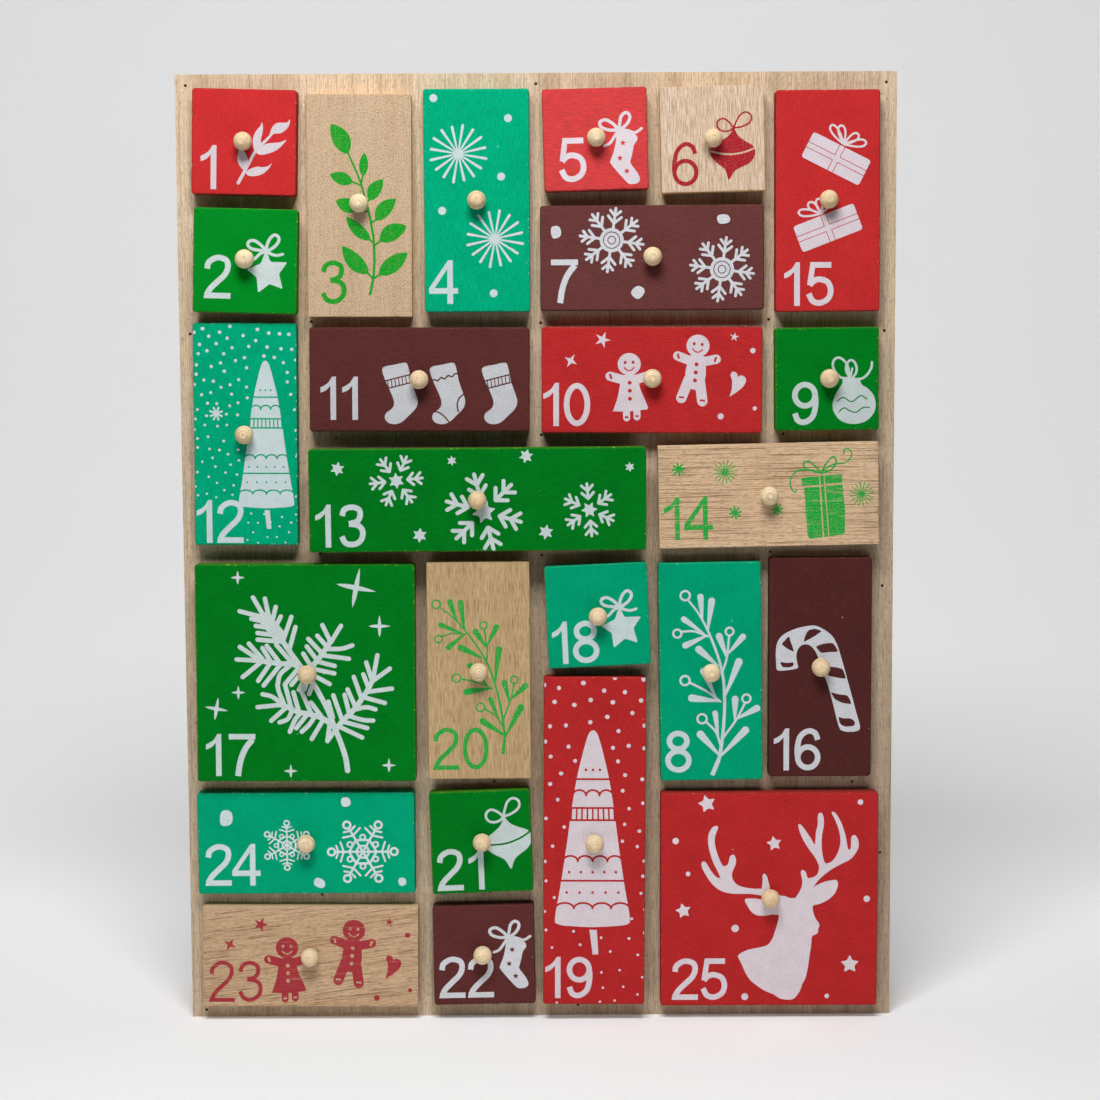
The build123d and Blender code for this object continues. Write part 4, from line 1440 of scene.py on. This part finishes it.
class Grain:
    """Looks of one kind of bare wood: two tones, dark lines and pores, and how the grain lies."""

    def __init__(self, light, dark, line, axis, rise=0.0, wander=0.4, lines=0.4, line_scale=(620, 14),
                 fibre=0.25, pores=0.5, pore_scale=(2400, 220), pale=0.0):
        self.light = srgb(*light)
        self.dark = srgb(*dark)
        self.line = srgb(*line)
        self.axis = axis
        self.rise = rise
        self.wander = wander
        self.lines = lines
        self.line_scale = line_scale
        self.fibre = fibre
        self.pores = pores
        self.pore_scale = pore_scale
        self.pale = pale

    def stretch(self, across, along):
        """Scales for a pattern drawn out along the grain."""
        return tuple(along if axis == self.axis else across for axis in "xyz")


def wood_colour(surface, grain):
    """Colour and height of bare wood with broad tones, growth lines, fine fibres and short dark pores."""
    lie = surface.node("ShaderNodeMapping")
    lie.inputs["Rotation"].default_value = (0.0, 0.0, -math.radians(grain.rise))
    surface.put(surface.coordinates, lie.inputs["Vector"])
    along = lie.outputs["Vector"]
    broad = surface.noise(grain.stretch(*WOOD_TONES), 3.0, 0.55, grain.wander, along)
    line = surface.noise(grain.stretch(*grain.line_scale), 2.0, 0.6, grain.wander, along)
    fibre = surface.noise(grain.stretch(*WOOD_FIBRES), 1.0, 0.5, 0.0, along)
    pore = surface.noise(grain.stretch(*grain.pore_scale), 1.0, 0.5, 0.0, along)
    holes = surface.band(pore, 0.55, 0.66)
    colour = surface.mix(surface.band(broad, 0.3, 0.72), grain.light, grain.dark)
    colour = surface.cover(colour, PALE_FIBRE, surface.band(fibre, 0.62, 0.36), grain.pale)
    colour = surface.cover(colour, grain.line, surface.band(line, 0.5, 0.68), grain.lines)
    colour = surface.cover(colour, grain.line, surface.band(fibre, 0.45, 0.65), grain.fibre)
    colour = surface.cover(colour, grain.line, holes, grain.pores)
    return colour, surface.less(surface.times(fibre, 0.5), holes)


def wood_material(name, grain, edge=None):
    """Bare wood, with another colour on the cut edges and rim where one is given: partly their own, partly a
    painted highlight.
    """
    surface = Surface(name, roughness=0.72, specular=0.2)
    colour, height = wood_colour(surface, grain)
    if edge:
        colour = surface.cover(colour, srgb(*edge), surface.attribute("side"), 0.8)
    surface.colour(colour)
    surface.bump(height, depth=0.06)
    return surface.material


def dust_specks(surface):
    """1 in a few small round specks."""
    cells = surface.node("ShaderNodeTexVoronoi")
    surface.put(surface.scaled(DUST_CELLS), cells.inputs["Vector"])
    cells.inputs["Scale"].default_value = 1.0
    chance = surface.joined("ShaderNodeSeparateColor", cells.outputs["Color"])
    chosen = surface.math("GREATER_THAN", chance, DUST_RARITY)
    return surface.times(surface.band(cells.outputs["Distance"], 0.09, 0.05), chosen)


def paint_material(name, colour, edge, worn):
    """Thin matt paint: fine tooth, brush lines, specks of dust, thinner on the sides, worn at the rim."""
    surface = Surface(name, roughness=0.6, specular=0.02)
    cloud = surface.noise(PAINT_CLOUDS, 3.0, 0.6)
    tooth = surface.noise(PAINT_TOOTH, 1.0, 0.5)
    level = surface.noise((BRUSH_ALONG, BRUSH_ACROSS, BRUSH_ACROSS), 2.0, 0.6)
    upright = surface.noise((BRUSH_ACROSS, BRUSH_ALONG, BRUSH_ACROSS), 2.0, 0.6)
    lines = surface.plus(surface.times(surface.swing(level), surface.attribute("level_lines")),
                         surface.times(surface.swing(upright), surface.attribute("upright_lines")))
    gain = surface.plus(surface.times(surface.swing(cloud), 0.05), 1.0)
    gain = surface.plus(surface.times(surface.swing(tooth), 0.2), gain)
    gain = surface.plus(surface.times(lines, 0.2), gain)
    # tone: the paint's own lightness together with painted light, set per front
    gain = surface.times(gain, surface.attribute("tone"))
    # The sheen added here is a painted reflection, a little grey on the paint of a few fronts
    shade = surface.vector_math("ADD", surface.gained(srgb(*colour)[:3], gain), surface.attribute("painted_sheen"))
    shade = surface.cover(shade, srgb(*DUST), dust_specks(surface), 0.45)
    # The side's colour, also on the rim: thinner paint, and on red fronts partly painted shade
    shade = surface.cover(shade, srgb(*edge), surface.attribute("side"), 0.85)
    chip = surface.noise(RIM_CHIPS, 3.0, 0.65)
    rim = surface.plus(surface.times(surface.attribute("wear"), 0.42), surface.times(chip, 0.9))
    bared = surface.band(rim, 0.97, 1.03)
    surface.colour(surface.mix(bared, shade, srgb(*worn)))
    height = surface.plus(surface.times(tooth, 0.8), surface.times(lines, 0.4))
    surface.bump(surface.less(height, surface.times(bared, 0.6)), depth=0.05)
    return surface.material


def ink_material(name, ink, below):
    """Screen ink on paint: the colour below shows in fine specks."""
    surface = Surface(name, roughness=0.62, specular=0.1)
    fine = surface.noise(INK_FINE, 1.0, 0.5)
    patch = surface.noise(INK_PATCHES, 3.0, 0.6)
    shade = surface.mix(surface.band(patch, 0.3, 0.7), srgb(*ink), srgb(*[c * 0.97 for c in ink]))
    # Painted shade on the ink, set per front by its tone
    shade = surface.gained(shade, surface.attribute("tone"))
    surface.colour(surface.cover(shade, srgb(*below), surface.band(fine, 0.48, 0.68), INK_SPECKS))
    surface.bump(fine, depth=0.03)
    return surface.material


def wood_ink_material(name, ink, grain, specks, missed):
    """Screen ink on bare wood: it misses the pores and thins out along the grain."""
    surface = Surface(name, roughness=0.7, specular=0.1)
    wood, height = wood_colour(surface, grain)
    fine = surface.noise(INK_FINE_ON_WOOD, 1.0, 0.5)
    along = surface.noise(grain.stretch(*INK_STREAKS), 2.0, 0.6)
    share = surface.math("MAXIMUM", surface.times(surface.band(fine, 0.55, 0.66), specks),
                         surface.times(surface.band(along, 0.57, 0.7), missed))
    surface.colour(surface.mix(share, srgb(*ink), wood))
    surface.bump(height, depth=0.05)
    return surface.material


def knob_material():
    """Pale turned wood: rings left by the tool about the ball's axis, and faint growth rings across it."""
    surface = Surface("turned_wood", roughness=0.55, specular=0.2)
    chance = surface.node("ShaderNodeObjectInfo").outputs["Random"]
    shifts = [surface.times(chance, metres) for metres in (0.02, 0.013)]
    own_place = surface.vector_math(
        "ADD", surface.coordinates, surface.joined("ShaderNodeCombineXYZ", *shifts),
    )
    growth = surface.noise(KNOB_GROWTH_RINGS, 2.0, 0.6, 0.6, own_place)
    pore = surface.noise(KNOB_PORES, 1.0, 0.5, 0.0, own_place)
    reach = surface.node("ShaderNodeVectorMath", operation="LENGTH")
    surface.put(surface.scaled((1.0, 1.0, 0.0)), reach.inputs[0])
    ring = surface.times(reach.outputs["Value"], KNOB_TOOL_RINGS)
    ring_place = surface.joined("ShaderNodeCombineXYZ", ring, surface.times(chance, 90))
    tool = surface.noise(1, 1.0, 0.5, 0.0, ring_place)
    colour = surface.mix(chance, srgb(*KNOB_LIGHT), srgb(*KNOB_DARK))
    colour = surface.cover(colour, srgb(*KNOB_GROWTH), surface.band(growth, 0.5, 0.7), 0.3)
    colour = surface.cover(colour, srgb(*KNOB_RING), surface.band(tool, 0.52, 0.66), 0.55)
    colour = surface.cover(colour, srgb(*KNOB_PORE), surface.band(pore, 0.58, 0.7), 0.4)
    surface.colour(colour)
    surface.bump(surface.less(pore, tool), depth=0.05)
    return surface.material


def ply_material(name, grain, light_to_right=0.0, light_to_top=0.0):
    """Plywood sheet in X and Z: a face veneer with painted light across and up it, and layers on the cut
    edges.
    """
    surface = Surface(name, roughness=0.75, specular=0.18)
    colour, height = wood_colour(surface, grain)
    normal = surface.parts(surface.node("ShaderNodeNewGeometry").outputs["Normal"])
    face_on = surface.band(surface.math("ABSOLUTE", normal[1]), 0.5, 0.7)
    x, y, z = surface.parts(surface.coordinates)
    # Painted light: the veneer grows lighter or darker with height and to the right, as the lamp's light
    # falls off
    rise = surface.less(surface.math("MAXIMUM", z, PANEL_LIGHT_FROM), PANEL_LIGHT_EVEN)
    painted_light = surface.plus(surface.times(rise, light_to_top), surface.times(x, light_to_right))
    colour = surface.gained(colour, surface.plus(painted_light, 1.0))
    layer = surface.math("FRACT", surface.times(y, PLY_LAYERS))
    fuzz = surface.noise(PLY_FUZZ, 2.0, 0.6)
    dark_layer = surface.band(surface.plus(layer, surface.times(fuzz, 0.25)), 0.5, 0.72)
    layers = surface.mix(dark_layer, srgb(*PLY_LIGHT), srgb(*PLY_DARK))
    surface.colour(surface.mix(face_on, layers, colour))
    surface.bump(height, depth=0.07)
    return surface.material


def steel_material():
    """Dark brad wire."""
    surface = Surface("brad_wire", roughness=0.45, specular=0.5)
    surface.shader.inputs["Metallic"].default_value = 1.0
    spots = surface.noise(WIRE_SPOTS, 2.0, 0.6)
    surface.colour(surface.mix(spots, srgb(*WIRE_LIGHT), srgb(*WIRE_DARK)))
    return surface.material


# Kinds of wood: light and dark tone, colour of lines and pores, and the axis that the grain follows
PANEL = Grain(
    (216, 194, 166), (196, 171, 142), (106, 80, 54), "z",
    wander=0.5, lines=0.25, line_scale=(900, 24), fibre=0.3, pores=0.36, pore_scale=(3300, 480),
)
BOARDS_UP = Grain((206, 180, 148), (186, 156, 122), (132, 100, 70), "z", wander=0.6, line_scale=(500, 12))
BOARDS_LEVEL = Grain((206, 180, 148), (186, 156, 122), (132, 100, 70), "x", wander=0.6, line_scale=(500, 12))
BACK = Grain((196, 168, 134), (176, 144, 108), (126, 92, 62), "z", wander=0.9, line_scale=(400, 10))
TRAY = Grain((222, 196, 160), (206, 176, 138), (164, 130, 92), "y", lines=0.3, pores=0.25)
BARE = {
    3: Grain(
        (206, 179, 148), (197, 169, 137), (98, 64, 40), "y",
        wander=0.3, lines=0.08, fibre=0.15, pores=0.62, pore_scale=(3300, 1500),
    ),
    6: Grain(
        (207, 178, 149), (199, 169, 139), (140, 102, 74), "y",
        wander=0.3, lines=0.1, fibre=0.3, pores=0.24, pore_scale=(3600, 500), pale=0.4,
    ),
    14: Grain(
        (222, 190, 154), (208, 176, 140), (104, 68, 40), "x",
        wander=0.3, lines=0.8, line_scale=(2000, 26), fibre=0.25, pores=0.4, pore_scale=(3200, 400),
    ),
    20: Grain(
        (196, 167, 125), (186, 156, 114), (110, 76, 44), "y",
        wander=0.2, lines=0.12, fibre=0.4, pores=0.25, pore_scale=(3600, 300),
    ),
    23: Grain(
        (209, 177, 142), (197, 163, 126), (108, 70, 46), "x", rise=7.0,
        wander=0.8, lines=0.68, line_scale=(2100, 50), fibre=0.25, pores=0.4, pore_scale=(3300, 400),
    ),
}
# Colours of the cut edges and rounded rims of bare boards: partly the end grain's own colour, partly a
# painted highlight
BARE_EDGES_AND_HIGHLIGHTS = {
    3: (250, 194, 104), 6: (250, 194, 104), 14: (208, 176, 136), 20: (204, 170, 120), 23: (207, 176, 138),
}
# Inks on bare wood: name, colour, share of fine specks and share missed along the grain
BARE_INKS = {
    3: ("green", GREEN_INK, 0.22, 0.1),
    6: ("red", RED_INK, 0.16, 0.1),
    14: ("green", DARK_GREEN_INK, 0.4, 0.7),
    20: ("green", DARK_GREEN_INK, 0.45, 0.35),
    23: ("red", DARK_RED_INK, 0.12, 0.35),
}

# Build the calendar
paints = {}
inks = {}
for name, (colour, edge, worn, white) in PAINT_LOOKS.items():
    paints[name] = paint_material(f"{name}_paint", colour, edge, worn)
    inks[name] = ink_material(f"white_ink_on_{name}", white, colour)
bare_boards = {}
bare_inks = {}
for number, grain in BARE.items():
    name, colour, specks, missed = BARE_INKS[number]
    bare_boards[number] = wood_material(f"bare_board_{number}", grain, BARE_EDGES_AND_HIGHLIGHTS[number])
    bare_inks[number] = wood_ink_material(f"{name}_ink_on_{number}", colour, grain, specks, missed)
knob_wood = knob_material()
tray_wood = wood_material("tray_wood", TRAY)
boards_upright = wood_material("boards_upright", BOARDS_UP)
boards_level = wood_material("boards_level", BOARDS_LEVEL)
brad_wire = steel_material()
case_materials = {
    "front_panel": ply_material("panel_plywood", PANEL, PANEL_LIGHT_TO_RIGHT, PANEL_LIGHT_TO_TOP),
    "back_panel": ply_material("back_plywood", BACK),
    "left_side": boards_upright,
    "right_side": boards_upright,
    "uprights": boards_upright,
    "top_board": boards_level,
    "bottom_board": boards_level,
    "shelves": boards_level,
    "front_brads": brad_wire,
    "back_brads": brad_wire,
}

for node, material in case_materials.items():
    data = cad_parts[node].data
    data.materials.clear()
    data.materials.append(material)

for number in TURNS:
    front = Front(number)
    if front.colour == "bare":
        make_board(front, bare_boards[number])
        make_print(front, bare_inks[number])
    else:
        make_board(front, paints[front.colour])
        make_print(front, inks[front.colour])
    make_knob(front, knob_wood)
    make_tray(front, tray_wood)


# Stage: a pale sheet that curves up behind the calendar, in metres
SWEEP_START = 0.30
SWEEP_RADIUS = 0.45
SWEEP_STEPS = 24
SWEEP_HALF_WIDTH = 3.0
SWEEP_NEAR = -2.5
SWEEP_TOP = 2.6
TABLE_EDGE = -0.9
TABLE_EDGE_FADE = 0.1
# How much brighter the sheet is seen than it is lit, and where the floor's share gives way to the backdrop's
FLOOR_LIFT = 0.1
BACKDROP_LIFT = 0.28
LIFT_FROM = -0.1
LIFT_TO = 0.2
# Strength of the room as light, and as it is seen past the sheet
ROOM_LIGHT = 0.04
ROOM_SEEN = 0.74


def straight_rays(tree):
    """1 for rays that show the background: the camera's own, and those by way of a mirror or glass."""
    path = tree.nodes.new("ShaderNodeLightPath")
    share = path.outputs["Is Camera Ray"]
    for kind in ("Is Glossy Ray", "Is Transmission Ray"):
        either = tree.nodes.new("ShaderNodeMath")
        either.operation = "MAXIMUM"
        tree.links.new(share, either.inputs[0])
        tree.links.new(path.outputs[kind], either.inputs[1])
        share = either.outputs[0]
    return share


def paper_material():
    """Pale paper that is clear from behind. Nearer than the table's edge it throws little light back."""
    surface = Surface("pale_paper", roughness=0.9, specular=0.1)
    seen = surface.mix(surface.noise(PAPER_CLOUDS, 2.0, 0.5), srgb(*PAPER_LIGHT), srgb(*PAPER_DARK))
    depth = surface.parts(surface.coordinates)[1]
    on_table = surface.band(depth, TABLE_EDGE - TABLE_EDGE_FADE, TABLE_EDGE)
    bounced = surface.mix(on_table, srgb(*DARK_ROOM), seen)
    straight = straight_rays(surface.tree)
    surface.colour(surface.mix(straight, bounced, seen))
    surface.shader.inputs["Emission Color"].default_value = WHITE
    behind = surface.times(surface.band(depth, LIFT_FROM, LIFT_TO), BACKDROP_LIFT - FLOOR_LIFT)
    lift = surface.times(straight, surface.plus(behind, FLOOR_LIFT))
    surface.put(lift, surface.shader.inputs["Emission Strength"])
    backfacing = surface.node("ShaderNodeNewGeometry").outputs["Backfacing"]
    clear = surface.node("ShaderNodeBsdfTransparent").outputs[0]
    one_sided = surface.joined("ShaderNodeMixShader", backfacing, surface.shader.outputs[0], clear)
    surface.put(one_sided, surface.tree.nodes["Material Output"].inputs["Surface"])
    return surface.material


def make_sweep():
    """The sheet: floor, curve and backdrop in one."""
    profile = [(SWEEP_NEAR, 0.0), (SWEEP_START, 0.0)]
    for k in range(1, SWEEP_STEPS + 1):
        angle = math.pi / 2 * k / SWEEP_STEPS
        profile.append((SWEEP_START + SWEEP_RADIUS * math.sin(angle), SWEEP_RADIUS * (1 - math.cos(angle))))
    profile.append((SWEEP_START + SWEEP_RADIUS, SWEEP_TOP))
    mesh = bmesh.new()
    rows = [[mesh.verts.new((x, y, z)) for x in (-SWEEP_HALF_WIDTH, SWEEP_HALF_WIDTH)] for y, z in profile]
    for (a, b), (c, d) in zip(rows, rows[1:]):
        mesh.faces.new((a, b, d, c)).smooth = True
    data = bpy.data.meshes.new("sweep")
    mesh.to_mesh(data)
    mesh.free()
    data.materials.append(paper_material())
    sweep = bpy.data.objects.new("sweep", data)
    bpy.context.scene.collection.objects.link(sweep)


def add_lamp(name, place, target, size, power, spread=180):
    """A rectangular lamp that faces a target, its light within the angle spread in degrees."""
    lamp = bpy.data.lights.new(name, "AREA")
    lamp.shape = "RECTANGLE"
    lamp.size, lamp.size_y = size
    lamp.energy = power
    lamp.spread = math.radians(spread)
    holder = bpy.data.objects.new(name, lamp)
    holder.location = place
    holder.rotation_euler = (Vector(target) - Vector(place)).to_track_quat("-Z", "Y").to_euler()
    bpy.context.scene.collection.objects.link(holder)


def make_room():
    """A faint even light from all sides, seen as a pale grey where the sheet ends."""
    world = bpy.data.worlds.new("soft_room")
    world.use_nodes = True
    tree = world.node_tree
    room = tree.nodes["Background"]
    room.inputs["Color"].default_value = WHITE
    strength = tree.nodes.new("ShaderNodeMapRange")
    strength.inputs["To Min"].default_value = ROOM_LIGHT
    strength.inputs["To Max"].default_value = ROOM_SEEN
    tree.links.new(straight_rays(tree), strength.inputs["Value"])
    tree.links.new(strength.outputs["Result"], room.inputs["Strength"])
    bpy.context.scene.world = world


make_sweep()
add_lamp("key_from_above", place=(-0.06, -0.62, 0.95), target=(0, 0, 0.2), size=(0.5, 0.27), power=10)
add_lamp("fill_from_the_table", place=(0, -0.4, 0.05), target=(0, 0, 0.04), size=(0.5, 0.05), power=0.06,
         spread=80)
make_room()
bpy.context.scene.view_settings.view_transform = "Standard"

# Camera: in front of the panel, a little above its middle, looking slightly down
CAMERA_PLACE = (5.4, -957.4, 283.9)
CAMERA_DOWN = 5.098
CAMERA_LEFT = 0.031
CAMERA_ROLL = -0.29
CAMERA_LENS = 72.05
CAMERA_SENSOR = 36.0
camera = bpy.data.cameras.new("camera")
camera.lens = CAMERA_LENS
camera.sensor_width = CAMERA_SENSOR
holder = bpy.data.objects.new("camera", camera)
aim = Matrix.Rotation(math.radians(CAMERA_LEFT), 4, "Z")
tilt = Matrix.Rotation(math.radians(90 - CAMERA_DOWN), 4, "X")
roll = Matrix.Rotation(math.radians(CAMERA_ROLL), 4, "Z")
holder.matrix_world = Matrix.Translation(Vector(CAMERA_PLACE) * MM) @ aim @ tilt @ roll
bpy.context.scene.collection.objects.link(holder)
bpy.context.scene.camera = holder

bpy.context.view_layer.update()
